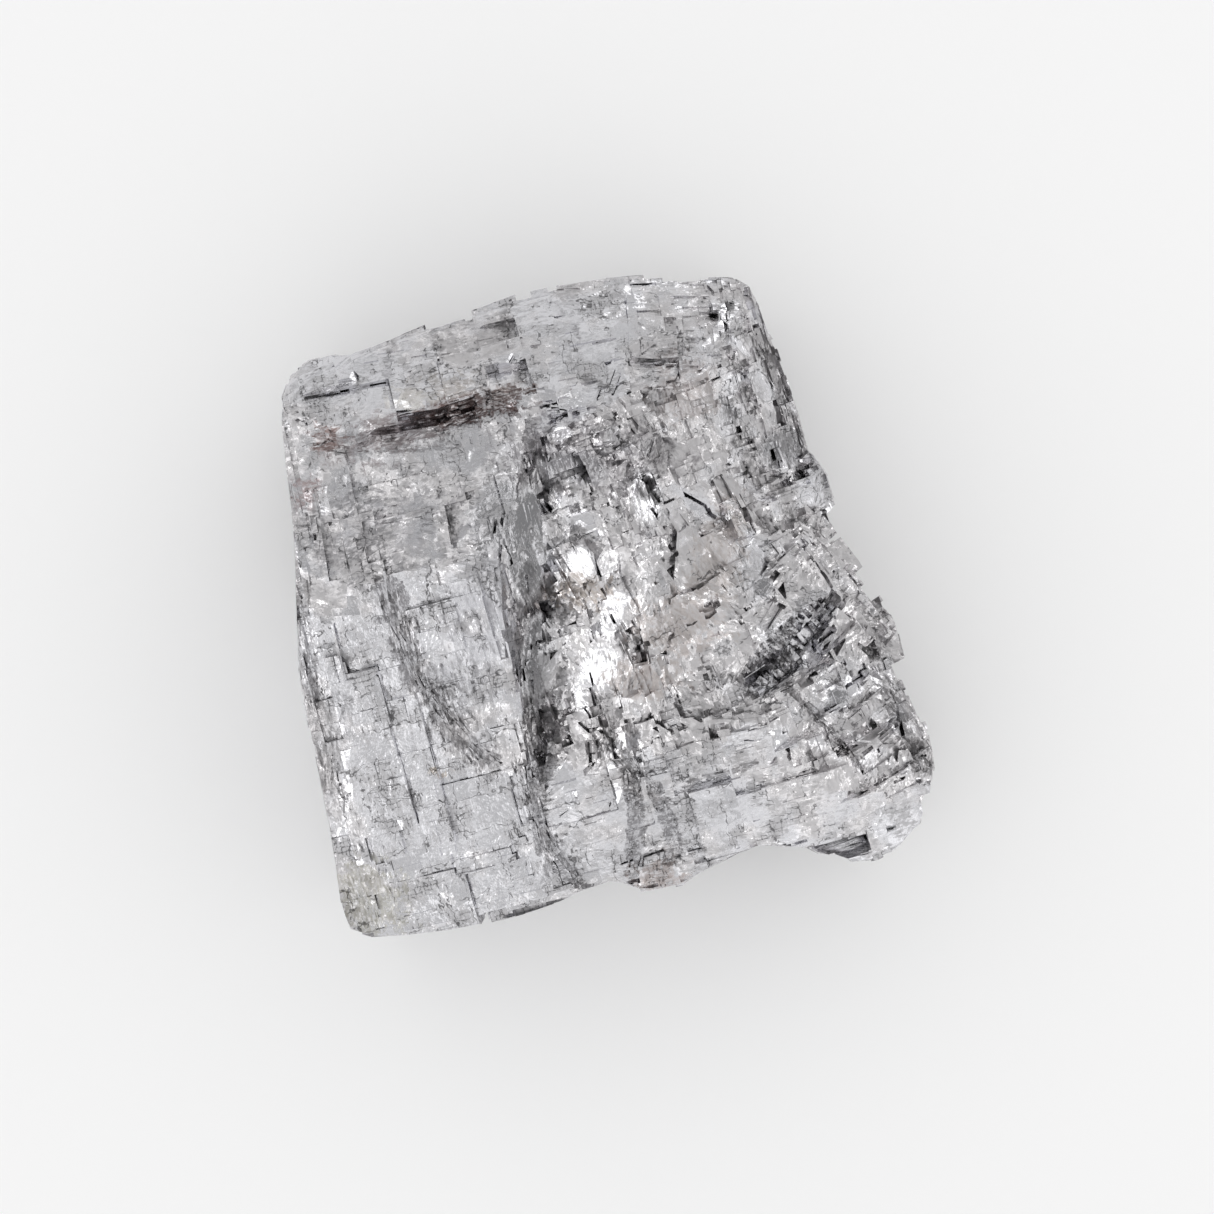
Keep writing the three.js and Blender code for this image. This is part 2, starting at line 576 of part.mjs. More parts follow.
// A plate whose outer face stands rise above the relief at a place, or whose floor lies below it.
function ledgeSolid(faces, { at, size, rise, turn }) {
  const [x, y] = at;
  const { a, normal } = faceAt(faces, x, y);
  const point = new THREE.Vector3(x, y, a.z - ((x - a.x) * normal.x + (y - a.y) * normal.y) / normal.z);
  const trace = new THREE.Vector3(Math.cos(degrees(turn)), Math.sin(degrees(turn)), 0);
  const along = trace.addScaledVector(normal, -trace.dot(normal)).normalize();
  const across = new THREE.Vector3().crossVectors(normal, along);
  const matrix = new THREE.Matrix4().makeBasis(along, across, normal).setPosition(point);
  const half = new THREE.Vector3(size[0] / 2, size[1] / 2, 0);
  const [bottom, top] = rise > 0 ? [rise - PLATE_THICKNESS, rise] : [rise, rise + PLATE_THICKNESS];
  return turned(boxSolid(half.clone().negate().setZ(bottom), half.clone().setZ(top)), matrix);
}

// A block that broke away whole.
function missingBlockSolid({ middle, size, turn }) {
  const matrix = new THREE.Matrix4().makeRotationZ(degrees(turn)).setPosition(...middle);
  const half = new THREE.Vector3(...size).multiplyScalar(0.5);
  return turned(boxSolid(half.clone().negate(), half), matrix);
}

// A shallow step in the resting face.
function footStepSolid({ at, size, depth }) {
  return missingBlockSolid({ middle: [...at, FOOT_Z], size: [...size, depth * 2], turn: FOOT_TURN });
}

// ---------------------------------------------------------------- the chunk

function galenaSolid() {
  const points = reliefPoints();
  const triangles = delaunay(points);
  const faces = reliefFaces(points, triangles);
  const form = wallSolid().intersect(reliefBlock(points, triangles));
  const ledges = Object.values(namedLedges);
  const raised = ledges.filter(({ rise }) => rise > 0).map((ledge) => ledgeSolid(faces, ledge));
  const pits = ledges.filter(({ rise }) => rise < 0).map((ledge) => ledgeSolid(faces, ledge));
  const broken = [...pits, ...missingBlocks.map(missingBlockSolid), ...footSteps.map(footStepSolid)];
  const whole = cleaved(form, faces).add(joined(raised)).subtract(joined(broken));
  return whole.decompose().reduce((best, body) => (body.volume() > best.volume() ? body : best));
}

const galena = new THREE.Mesh(geometryFrom(galenaSolid()), new THREE.MeshStandardMaterial(GALENA));
galena.name = "galena";

// The origin is the middle of the bounding box's lowest face.
const box = new THREE.Box3().setFromObject(galena);
const middle = box.getCenter(new THREE.Vector3());
galena.position.set(-middle.x, -middle.y, -box.min.z);

const chunk = new THREE.Group();
chunk.add(galena);
export default chunk;
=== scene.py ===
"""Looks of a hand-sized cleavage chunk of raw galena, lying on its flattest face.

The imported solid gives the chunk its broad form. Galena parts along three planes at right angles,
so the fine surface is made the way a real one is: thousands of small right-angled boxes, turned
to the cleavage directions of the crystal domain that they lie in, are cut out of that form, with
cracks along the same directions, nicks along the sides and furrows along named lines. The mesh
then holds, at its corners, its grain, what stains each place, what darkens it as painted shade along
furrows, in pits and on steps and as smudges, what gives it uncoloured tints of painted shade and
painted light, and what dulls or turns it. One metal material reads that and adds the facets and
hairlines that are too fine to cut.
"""

import logging
import math
from dataclasses import dataclass, field
from enum import Enum

import bmesh
import bpy
import numpy as np
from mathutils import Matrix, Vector
from mathutils.bvhtree import BVHTree


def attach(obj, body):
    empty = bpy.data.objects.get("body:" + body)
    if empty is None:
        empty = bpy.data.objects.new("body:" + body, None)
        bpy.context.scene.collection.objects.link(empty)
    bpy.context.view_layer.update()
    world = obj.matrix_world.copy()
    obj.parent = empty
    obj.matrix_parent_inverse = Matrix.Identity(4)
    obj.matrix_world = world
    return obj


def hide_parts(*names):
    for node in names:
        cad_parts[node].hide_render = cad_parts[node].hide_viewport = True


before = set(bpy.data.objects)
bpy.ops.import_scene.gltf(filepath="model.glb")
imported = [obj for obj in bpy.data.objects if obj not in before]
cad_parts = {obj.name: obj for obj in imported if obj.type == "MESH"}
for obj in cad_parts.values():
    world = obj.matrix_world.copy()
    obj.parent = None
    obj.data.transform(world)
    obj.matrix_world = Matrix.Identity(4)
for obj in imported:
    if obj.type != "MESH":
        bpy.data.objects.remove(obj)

logging.basicConfig(level=logging.INFO, format="%(message)s")
log = logging.getLogger("galena")

MM = 0.001
MERGE_DISTANCE = 1e-3 * MM
NODE = "galena"
BODY = "root"

Array = np.ndarray
Triple = tuple[float, float, float]
Place = tuple[float, float]
Colour = tuple[float, float, float, float]


# ---------------------------------------------------------------- crystal domains


class Domain(Enum):
    """The crystal domains of the chunk."""

    LEFT_BLOCK = 0
    LEFT_SHOULDER = 1
    SLAB = 2
    SLAB_RIGHT = 3
    VALLEY_WALL = 4
    PEAK = 5
    BEHIND_PEAK = 6
    FLANK = 7
    TRENCH = 8
    LOWER_FACE = 9
    TOE = 10


@dataclass(frozen=True)
class DomainCut:
    """How one crystal domain lies and breaks, in millimetres and degrees.

    A place belongs to the domain of the nearest site. The first site is the origin of its grain.
    Streaks says which of the domain's axes, 0 or 1, its streaks run along.
    """

    sites: tuple[Triple, ...]
    turn: Triple
    plates: Triple
    depth: float
    tilt: float
    cracks: int
    crack_length: float
    broken: float
    streaks: int = 0


# What takes the sites' own places to the frame's.
SHIFT: Triple = (-0.115, -0.318, -3.0)

DOMAINS: dict[Domain, DomainCut] = {
    Domain.LEFT_BLOCK: DomainCut(
        ((-19, -8, 26), (-12.8, 0, 32), (-12.8, -6, 32), (-11.6, -12, 31), (-11, -19, 30), (-9, -26, 29)),
        (8, -5, 15), (3.2, 2.0, 0.26), 0.34, 1.6, 60, 2.6, 0.14, 1,
    ),
    Domain.LEFT_SHOULDER: DomainCut(
        ((-20, 10, 27), (-12.8, 16, 32), (-12.8, 12, 32), (-12.8, 6, 32), (-28, 13, 29)),
        (-2, -5, 13), (3.0, 1.0, 0.24), 0.42, 4.0, 30, 2.4, 0.55, 0,
    ),
    Domain.SLAB: DomainCut(
        ((-12, 26, 24), (-28, 22.4, 27), (-20, 23.4, 28), (-8, 23.6, 30)),
        (-32, -3, 12), (2.8, 1.6, 0.14), 0.1, 1.6, 0, 1.8, 0.3, 0,
    ),
    Domain.SLAB_RIGHT: DomainCut(
        ((4, 27, 24),), (-28, 7, 5), (2.0, 1.2, 0.2), 0.22, 4, 6, 1.6, 0.5, 0,
    ),
    Domain.VALLEY_WALL: DomainCut(
        ((-8, 0, 30), (-8, 12, 30), (-8, 6, 30), (-7.9, -6, 30), (-7.6, -12, 30)),
        (4, 44, 20), (2.4, 0.6, 0.22), 0.4, 8, 10, 2.4, 0.55, 1,
    ),
    Domain.PEAK: DomainCut(
        ((0, 3, 28), (-3, 12, 29), (-3, 6, 29), (-3, 0, 29), (-3.2, -6, 29), (-3.6, -12, 29)),
        (3, -20, 22), (1.9, 0.9, 0.34), 0.7, 13, 10, 1.6, 0.75, 1,
    ),
    Domain.BEHIND_PEAK: DomainCut(
        ((9, 4, 28), (8, -5, 28), (7, 13, 28)), (4, 9, 24), (1.8, 0.9, 0.34), 0.8, 16, 8, 1.6, 0.85, 1,
    ),
    Domain.FLANK: DomainCut(
        ((17, 21, 20), (14, 17, 25)), (-6, 40, 21), (2.8, 0.55, 0.34), 0.7, 5, 20, 3.0, 0.65, 1,
    ),
    Domain.TRENCH: DomainCut(
        ((20, 0, 26),), (6, 24, 40), (1.8, 1.0, 0.32), 0.6, 15, 8, 1.8, 0.8, 0,
    ),
    Domain.LOWER_FACE: DomainCut(
        ((6, -23, 24), (-1.6, -19, 29), (-0.6, -26, 28), (16, -20, 28), (24, -22, 27)),
        (12, 3, 15), (2.6, 1.4, 0.24), 0.34, 3, 70, 2.2, 0.3, 0,
    ),
    Domain.TOE: DomainCut(
        ((29, -12, 22), (24, -13, 28)), (10, 24, 24), (1.8, 1.0, 0.3), 0.5, 10, 10, 2, 0.75, 1,
    ),
}

# How far the borders between domains wander, over what distance, and by which noises.
BORDER_WANDER = 3.0
BORDER_SPACING = 2.2
BORDER_SEEDS = (61, 62, 63)

# What mixes a whole-number cell and a seed into a value that looks random.
CELL_FACTORS = (73856093, 19349663, 83492791)
SEED_FACTOR = 2654435761
MIX_FACTOR = 0x45D9F3B
MIX_SHIFTS = (16, 15, 16)
LOW_BITS = 0xFFFFFFFF

SITES: Array = np.array([site for cut in DOMAINS.values() for site in cut.sites], float) + SHIFT
SITE_DOMAINS: Array = np.array([i for i, cut in enumerate(DOMAINS.values()) for _ in cut.sites])
GRAIN_ORIGINS: Array = np.array([cut.sites[0] for cut in DOMAINS.values()], float) + SHIFT


def turn_matrix(turn: Triple) -> Array:
    """The matrix of a turn about Z, then Y, then X.

    Args:
        turn: the three angles about X, Y and Z, in degrees.

    Returns:
        A 3 by 3 matrix whose columns are the turned axes.
    """
    x, y, z = np.radians(turn)
    about_x = np.array([[1, 0, 0], [0, np.cos(x), -np.sin(x)], [0, np.sin(x), np.cos(x)]])
    about_y = np.array([[np.cos(y), 0, np.sin(y)], [0, 1, 0], [-np.sin(y), 0, np.cos(y)]])
    about_z = np.array([[np.cos(z), -np.sin(z), 0], [np.sin(z), np.cos(z), 0], [0, 0, 1]])
    return about_x @ about_y @ about_z


def small_turns(angles: Array) -> Array:
    """Matrices of small turns.

    Args:
        angles: N by 3 small angles in radians.

    Returns:
        N matrices, orthonormal.
    """
    x, y, z = angles.T
    skew = np.zeros((len(angles), 3, 3))
    skew[:, 0, 1], skew[:, 1, 0] = -z, z
    skew[:, 0, 2], skew[:, 2, 0] = y, -y
    skew[:, 1, 2], skew[:, 2, 1] = -x, x
    identity = np.eye(3)[None]
    return np.linalg.solve(identity - skew / 2, identity + skew / 2)


def lattice_noise(points: Array, spacing: float, seed: int) -> Array:
    """Smooth noise from 0 to 1 on a cubic lattice.

    Args:
        points: N by 3 places in millimetres.
        spacing: the lattice's spacing in millimetres.
        seed: picks one noise among many.

    Returns:
        N values from 0 to 1.
    """
    scaled = points / spacing
    base = np.floor(scaled).astype(np.int64)
    share = scaled - base
    share = share * share * (3 - 2 * share)
    total = np.zeros(len(points))
    for corner in np.ndindex(2, 2, 2):
        offset = np.array(corner)
        weight = np.where(offset, share, 1 - share).prod(axis=1)
        total += weight * hashed(base + offset, seed)
    return total


def hashed(cells: Array, seed: int) -> Array:
    """A repeatable value from 0 to 1 for each integer cell.

    Args:
        cells: N by 3 whole numbers.
        seed: picks one set of values among many.

    Returns:
        N values from 0 to 1.
    """
    mixed = cells.astype(np.uint64) @ np.array(CELL_FACTORS, np.uint64)
    mixed = (mixed + np.uint64(seed * SEED_FACTOR)) & np.uint64(LOW_BITS)
    for shift in MIX_SHIFTS:
        mixed ^= mixed >> np.uint64(shift)
        mixed = (mixed * np.uint64(MIX_FACTOR)) & np.uint64(LOW_BITS)
    return mixed.astype(float) / LOW_BITS


def nearest_domain(points: Array) -> tuple[Array, Array]:
    """Which domain each point is in.

    Args:
        points: N by 3 places in millimetres.

    Returns:
        The index of each point's domain, and its rough distance to the nearest site of every domain.
    """
    noises = [lattice_noise(points, BORDER_SPACING, seed) for seed in BORDER_SEEDS]
    moved = points + BORDER_WANDER * (np.stack(noises, axis=1) - 0.5)
    to_sites = np.linalg.norm(moved[:, None, :] - SITES[None], axis=2)
    reach = np.stack([to_sites[:, SITE_DOMAINS == i].min(axis=1) for i in range(len(DOMAINS))], axis=1)
    return reach.argmin(axis=1), reach


# ---------------------------------------------------------------- broad form


class BroadForm:
    """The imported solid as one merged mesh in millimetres, with distances to its surface."""

    def __init__(self, node: bpy.types.Object) -> None:
        """Merges a copy of a node's mesh and leaves the node as it is.

        Args:
            node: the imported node's object.
        """
        merged = bmesh.new()
        merged.from_mesh(node.data)
        bmesh.ops.remove_doubles(merged, verts=merged.verts, dist=MERGE_DISTANCE)
        bmesh.ops.dissolve_degenerate(merged, edges=merged.edges, dist=MERGE_DISTANCE)
        bmesh.ops.scale(merged, vec=(1 / MM,) * 3, verts=merged.verts)
        self.mesh = bpy.data.meshes.new("broad_form")
        merged.to_mesh(self.mesh)
        self.tree = BVHTree.FromBMesh(merged)
        open_edges = sum(1 for edge in merged.edges if not edge.is_manifold)
        log.info("broad form: %d faces, %d open edges", len(merged.faces), open_edges)
        merged.free()

    def nearest(self, points: Array) -> tuple[Array, Array]:
        """How far points lie outside the surface, and which way it faces there.

        Args:
            points: N by 3 places in millimetres.

        Returns:
            N distances, negative inside, and N by 3 normals of the nearest faces.
        """
        distances = np.empty(len(points))
        normals = np.empty((len(points), 3))
        for i, point in enumerate(points):
            place, normal, _, distance = self.tree.find_nearest(point)
            outside = (Vector(point) - place).dot(normal) >= 0
            distances[i] = distance if outside else -distance
            normals[i] = normal
        return distances, normals


# ---------------------------------------------------------------- boxes to cut away


@dataclass
class Boxes:
    """Turned boxes: their centres, half sizes and turns, in millimetres."""

    centres: Array = field(default_factory=lambda: np.zeros((0, 3)))
    halves: Array = field(default_factory=lambda: np.zeros((0, 3)))
    turns: Array = field(default_factory=lambda: np.zeros((0, 3, 3)))

    def add(self, centres: Array, halves: Array, turns: Array) -> None:
        """Takes more boxes in.

        Args:
            centres: N by 3 places.
            halves: N by 3 half sizes.
            turns: N matrices whose columns are the boxes' axes.
        """
        self.centres = np.concatenate([self.centres, centres])
        self.halves = np.concatenate([self.halves, halves])
        self.turns = np.concatenate([self.turns, turns])

    def __len__(self) -> int:
        """How many boxes there are."""
        return len(self.centres)


@dataclass(frozen=True)
class Cleaver:
    """Splits a domain's space into plates and picks those to cut away.

    Plates' borders fall on a grid of the given spacing, and are off the middle by up to the spread.
    Plates are larger low down, in walls and under overhangs, and cut less deep in steep faces and in
    calm places. Fineness and bite are each a least share and what a noise adds to it, with the
    noise's spacing and seed beside them.
    """

    spacing: float = 0.06
    spread: float = 0.3
    slack: float = 1.6
    side_scale: float = 2.6
    side_below: float = 19.0
    side_rise: float = 0.15
    steep_rise: float = 0.75
    steep_depth: float = 0.4
    foot_height: float = 0.7
    calmed: float = 0.8
    skipped: float = 0.12
    fineness: tuple[float, float] = (0.65, 0.8)
    fineness_spacing: float = 5.0
    fineness_seed: int = 3
    bite: tuple[float, float] = (0.15, 1.5)
    bite_spacing: float = 3.2
    bite_seed: int = 11
    subgrain: float = 7.0
    subgrain_seeds: tuple[int, int, int] = (21, 22, 23)
    root: float = 64.0
    seed: int = 5

    def boxes(self, domain: Domain, form: BroadForm) -> tuple[Array, Array, Array]:
        """The boxes of one domain that lie outside its fine surface.

        Args:
            domain: the domain.
            form: the broad form.

        Returns:
            Centres, half sizes and turns.
        """
        cut = DOMAINS[domain]
        axes = turn_matrix(cut.turn)
        rng = np.random.default_rng(self.seed + domain.value)
        low = np.full((1, 3), -self.root)
        high = np.full((1, 3), self.root)
        kept: list[tuple[Array, Array]] = []
        while len(low):
            size = high - low
            middle = (low + high) / 2
            points = middle @ axes.T + GRAIN_ORIGINS[domain.value]
            reach_all = nearest_domain(points)[1]
            lead = reach_all[:, domain.value] - reach_all.min(axis=1)
            span = np.linalg.norm(size, axis=1)
            near = lead <= span
            low, high, size, points = low[near], high[near], size[near], points[near]
            span, lead = span[near], lead[near]
            if not len(low):
                break
            distance, normal = form.nearest(points)
            facing = np.abs(normal @ axes)
            near = np.abs(distance) < span / 2 + cut.depth
            low, high, size, points = low[near], high[near], size[near], points[near]
            distance, normal, facing, lead = distance[near], normal[near], facing[near], lead[near]
            sides = self.plate_sides(cut, points, normal, facing)
            ratio = size / sides
            axis = ratio.argmax(axis=1)
            rows = np.arange(len(low))
            split = ratio[rows, axis] > self.slack
            whole = ~split & (lead <= 0)
            chosen = self.outside(cut, points, distance, facing, size, normal, rng) & whole
            kept.append((low[chosen], high[chosen]))
            low, high, size, axis = low[split], high[split], size[split], axis[split]
            rows = np.arange(len(low))
            share = 0.5 + rng.uniform(-self.spread, self.spread, len(low))
            steps = np.round(size[rows, axis] * share / self.spacing)
            plane = low[rows, axis] + steps * self.spacing
            first_high, second_low = high.copy(), low.copy()
            first_high[rows, axis] = plane
            second_low[rows, axis] = plane
            low, high = np.concatenate([low, second_low]), np.concatenate([first_high, high])
        low = np.concatenate([pair[0] for pair in kept])
        high = np.concatenate([pair[1] for pair in kept])
        return self.turned(domain, axes, low, high)

    def plate_sides(self, cut: DomainCut, points: Array, normal: Array, facing: Array) -> Array:
        """The sides of the plates at some points, thin across the surface.

        Args:
            cut: the domain's plate sizes.
            points: N by 3 places.
            normal: N by 3 surface normals.
            facing: how squarely the surface faces each of the domain's axes.

        Returns:
            N by 3 sides along the domain's axes.
        """
        order = facing.argsort(axis=1)
        sides = np.empty_like(facing)
        hidden = (points[:, 2] < self.side_below) | (normal[:, 2] < self.side_rise)
        scale = np.where(hidden, self.side_scale, 1.0)
        least, added = self.fineness
        fineness = least + added * lattice_noise(points, self.fineness_spacing, self.fineness_seed)
        np.put_along_axis(sides, order[:, :1], (cut.plates[0] * scale * fineness)[:, None], axis=1)
        np.put_along_axis(sides, order[:, 1:2], (cut.plates[1] * scale * fineness)[:, None], axis=1)
        thin = cut.plates[2] * np.sqrt(scale) * fineness
        np.put_along_axis(sides, order[:, 2:], thin[:, None], axis=1)
        return sides

    def outside(
        self, cut: DomainCut, points: Array, distance: Array, facing: Array, size: Array, normal: Array,
        rng: np.random.Generator,
    ) -> Array:
        """Which boxes lie outside the fine surface and still bite into the broad form.

        Args:
            cut: the domain's depth of cut.
            points: N by 3 middles of the boxes.
            distance: how far they lie outside the broad form.
            facing: how squarely the surface faces each of the domain's axes.
            size: N by 3 sides of the boxes.
            normal: N by 3 surface normals.
            rng: the domain's random numbers.

        Returns:
            N true or false values.
        """
        least, added = self.bite
        depth = cut.depth * (least + added * lattice_noise(points, self.bite_spacing, self.bite_seed) ** 2)
        steep = np.abs(normal[:, 2]) < self.steep_rise
        depth *= (1 - self.calmed * calmness(points)) * np.where(steep, self.steep_depth, 1.0)
        reach = (facing * size).sum(axis=1) / 2
        loose = (distance > -depth) & (distance < reach)
        on_foot = (points[:, 2] < self.foot_height) & (normal[:, 2] < 0)
        return loose & ~on_foot & (rng.random(len(points)) > self.skipped)

    def turned(self, domain: Domain, axes: Array, low: Array, high: Array) -> tuple[Array, Array, Array]:
        """Boxes in the chunk's own axes, each subgrain of them tilted a little as one.

        Args:
            domain: the domain, which sets the largest tilt.
            axes: the domain's axes.
            low: N by 3 low corners along those axes.
            high: N by 3 high corners.

        Returns:
            Centres, half sizes and turns.
        """
        middle = (low + high) / 2
        cell = np.floor(middle / self.subgrain).astype(np.int64)
        angles = np.stack([hashed(cell, seed) * 2 - 1 for seed in self.subgrain_seeds], axis=1)
        tilts = small_turns(np.radians(DOMAINS[domain].tilt) * angles)
        pivot = (cell + 0.5) * self.subgrain
        moved = pivot + np.einsum("nij,nj->ni", tilts, middle - pivot)
        return moved @ axes.T + GRAIN_ORIGINS[domain.value], (high - low) / 2, axes[None] @ tilts


@dataclass(frozen=True)
class CrackLines:
    """Hairline cracks along a domain's cleavage directions.

    Each starts within the scatter of one of the domain's sites, where the surface rises and faces
    the domain's third axis squarely enough. Lengths, widths and depths are the least and largest
    shares of a crack's own, and gaps lie between its segments.
    """

    width: float = 0.05
    depth: float = 0.2
    segments: int = 4
    wander: float = 0.1
    scatter: float = 7.0
    rise: float = 0.3
    squareness: float = 0.6
    lengths: tuple[float, float] = (0.3, 1.0)
    widths: tuple[float, float] = (0.6, 1.5)
    depths: tuple[float, float] = (0.7, 1.6)
    gaps: tuple[float, float] = (-0.1, 0.25)
    seed: int = 40

    def boxes(self, domain: Domain, form: BroadForm) -> tuple[Array, Array, Array]:
        """The slits of one domain's cracks.

        Args:
            domain: the domain.
            form: the broad form.

        Returns:
            Centres, half sizes and turns.
        """
        cut = DOMAINS[domain]
        axes = turn_matrix(cut.turn)
        rng = np.random.default_rng(self.seed + domain.value)
        centres, halves, turns = [], [], []
        for _ in range(cut.cracks):
            site = np.array(cut.sites[rng.integers(len(cut.sites))]) + SHIFT
            start = site + rng.normal(0, self.scatter, 3)
            along = int(rng.integers(0, 2))
            place, normal, _, _ = form.tree.find_nearest(Vector(start))
            normal = np.array(normal)
            across = 1 - along
            spot = np.array(place)
            if normal[2] < self.rise or abs(normal @ axes[:, 2]) < self.squareness:
                continue
            for _ in range(int(rng.integers(1, self.segments + 1))):
                length = cut.crack_length * rng.uniform(*self.lengths)
                spot = spot + axes[:, along] * length / 2
                hit, normal, _, _ = form.tree.find_nearest(Vector(spot))
                place = np.array(hit)
                if nearest_domain(place[None])[0][0] == domain.value and normal.z > self.rise:
                    wide = self.width * rng.uniform(*self.widths)
                    deep = self.depth * rng.uniform(*self.depths)
                    half = np.empty(3)
                    half[along], half[across], half[2] = length / 2, wide / 2, deep
                    centres.append(place)
                    halves.append(half)
                    turns.append(axes)
                spot = spot + axes[:, along] * (length / 2 + rng.uniform(*self.gaps))
                spot = spot + axes[:, across] * rng.normal(0, self.wander)
        if not centres:
            return np.zeros((0, 3)), np.zeros((0, 3)), np.zeros((0, 3, 3))
        return np.array(centres), np.array(halves), np.array(turns)


@dataclass(frozen=True)
class EdgeNicks:
    """Upright slots along the chunk's sides, which leave its outline ragged.

    Each is cut where a level ray from far out, at one of the heights, meets the chunk furthest out.
    """

    count: int = 150
    jitter: float = 0.03
    wide: tuple[float, float] = (0.2, 1.1)
    deep: tuple[float, float] = (0.0, 0.13)
    tall: tuple[float, float] = (6.0, 15.0)
    clear: float = 2.5
    heights: tuple[float, ...] = (7.0, 12.0, 17.0, 22.0, 26.0)
    far: float = 80.0
    seed: int = 90

    def boxes(self, form: BroadForm) -> tuple[Array, Array, Array]:
        """The slots, each turned as the crystal domain is that it lies in.

        Args:
            form: the broad form.

        Returns:
            Centres, half sizes and turns.
        """
        rng = np.random.default_rng(self.seed)
        centres, halves, turns = [], [], []
        angles = np.linspace(0, 2 * np.pi, self.count) + rng.uniform(-self.jitter, self.jitter, self.count)
        for angle in angles:
            outward = Vector((np.cos(angle), np.sin(angle), 0))
            starts = [outward * self.far + Vector((0, 0, height)) for height in self.heights]
            hits = [form.tree.ray_cast(start, -outward) for start in starts]
            place, normal, _, _ = max((hit for hit in hits if hit[0]), key=lambda hit: hit[0].dot(outward))
            domain = int(nearest_domain(np.array(place)[None])[0][0])
            axes = turn_matrix((0, 0, list(DOMAINS.values())[domain].turn[2]))
            level = np.array((normal.x, normal.y, 0)) / math.hypot(normal.x, normal.y)
            half = np.array((rng.uniform(*self.wide), rng.uniform(*self.wide), rng.uniform(*self.tall)))
            half[np.abs(level @ axes)[:2].argmax()] = self.clear
            support = (np.abs(level @ axes) * half).sum()
            centres.append(np.array(place) + level * (support - rng.uniform(*self.deep)))
            halves.append(half)
            turns.append(axes)
        return np.array(centres), np.array(halves), np.array(turns)


# How many times its growth a box is widened when its neighbours are looked for, how many boxes are
# compared with all others at once, and how near two boxes may come before they count as touching.
PASS_MARGIN = 1.5
COMPARED_AT_ONCE = 400
TOUCH = 1e-9


def cutting_passes(boxes: Boxes, growth: float) -> Array:
    """Shares boxes out so that no two of one pass overlap.

    Args:
        boxes: the boxes.
        growth: how much larger each box's half sizes are when it is cut.

    Returns:
        The pass of each box, counted from 0.
    """
    halves = boxes.halves + growth * PASS_MARGIN
    radius = np.linalg.norm(halves, axis=1)
    squares = (boxes.centres**2).sum(axis=1)
    firsts, seconds = [], []
    for start in range(0, len(boxes), COMPARED_AT_ONCE):
        part = slice(start, start + COMPARED_AT_ONCE)
        apart = squares[part, None] + squares[None] - 2 * boxes.centres[part] @ boxes.centres.T
        close = apart < (radius[part, None] + radius[None]) ** 2
        first, second = np.nonzero(close)
        first += start
        ordered = first < second
        firsts.append(first[ordered])
        seconds.append(second[ordered])
    first, second = np.concatenate(firsts), np.concatenate(seconds)
    touching = overlap(boxes, halves, first, second)
    first, second = first[touching], second[touching]
    neighbours: list[list[int]] = [[] for _ in range(len(boxes))]
    for a, b in zip(first.tolist(), second.tolist()):
        neighbours[a].append(b)
        neighbours[b].append(a)
    order = sorted(range(len(boxes)), key=lambda i: -len(neighbours[i]))
    chosen = [-1] * len(boxes)
    for i in order:
        taken = {chosen[j] for j in neighbours[i]}
        chosen[i] = next(k for k in range(len(boxes)) if k not in taken)
    return np.array(chosen)


def overlap(boxes: Boxes, halves: Array, first: Array, second: Array) -> Array:
    """Which pairs of turned boxes overlap, by the separating axis test.

    Args:
        boxes: the boxes.
        halves: their half sizes.
        first: index of each pair's first box.
        second: index of each pair's second box.

    Returns:
        True for each pair that overlaps.
    """
    between = boxes.centres[second] - boxes.centres[first]
    turn_a, turn_b = boxes.turns[first], boxes.turns[second]
    half_a, half_b = halves[first], halves[second]
    crossed = np.cross(turn_a.transpose(0, 2, 1)[:, :, None, :], turn_b.transpose(0, 2, 1)[:, None, :, :])
    axes = np.concatenate(
        [turn_a.transpose(0, 2, 1), turn_b.transpose(0, 2, 1), crossed.reshape(len(first), 9, 3)], axis=1
    )
    spread_a = (np.abs(axes @ turn_a) * half_a[:, None, :]).sum(axis=2)
    spread_b = (np.abs(axes @ turn_b) * half_b[:, None, :]).sum(axis=2)
    gap = np.abs(np.einsum("nij,nj->ni", axes, between))
    return (gap <= spread_a + spread_b + TOUCH).all(axis=1)


# ---------------------------------------------------------------- geometry nodes


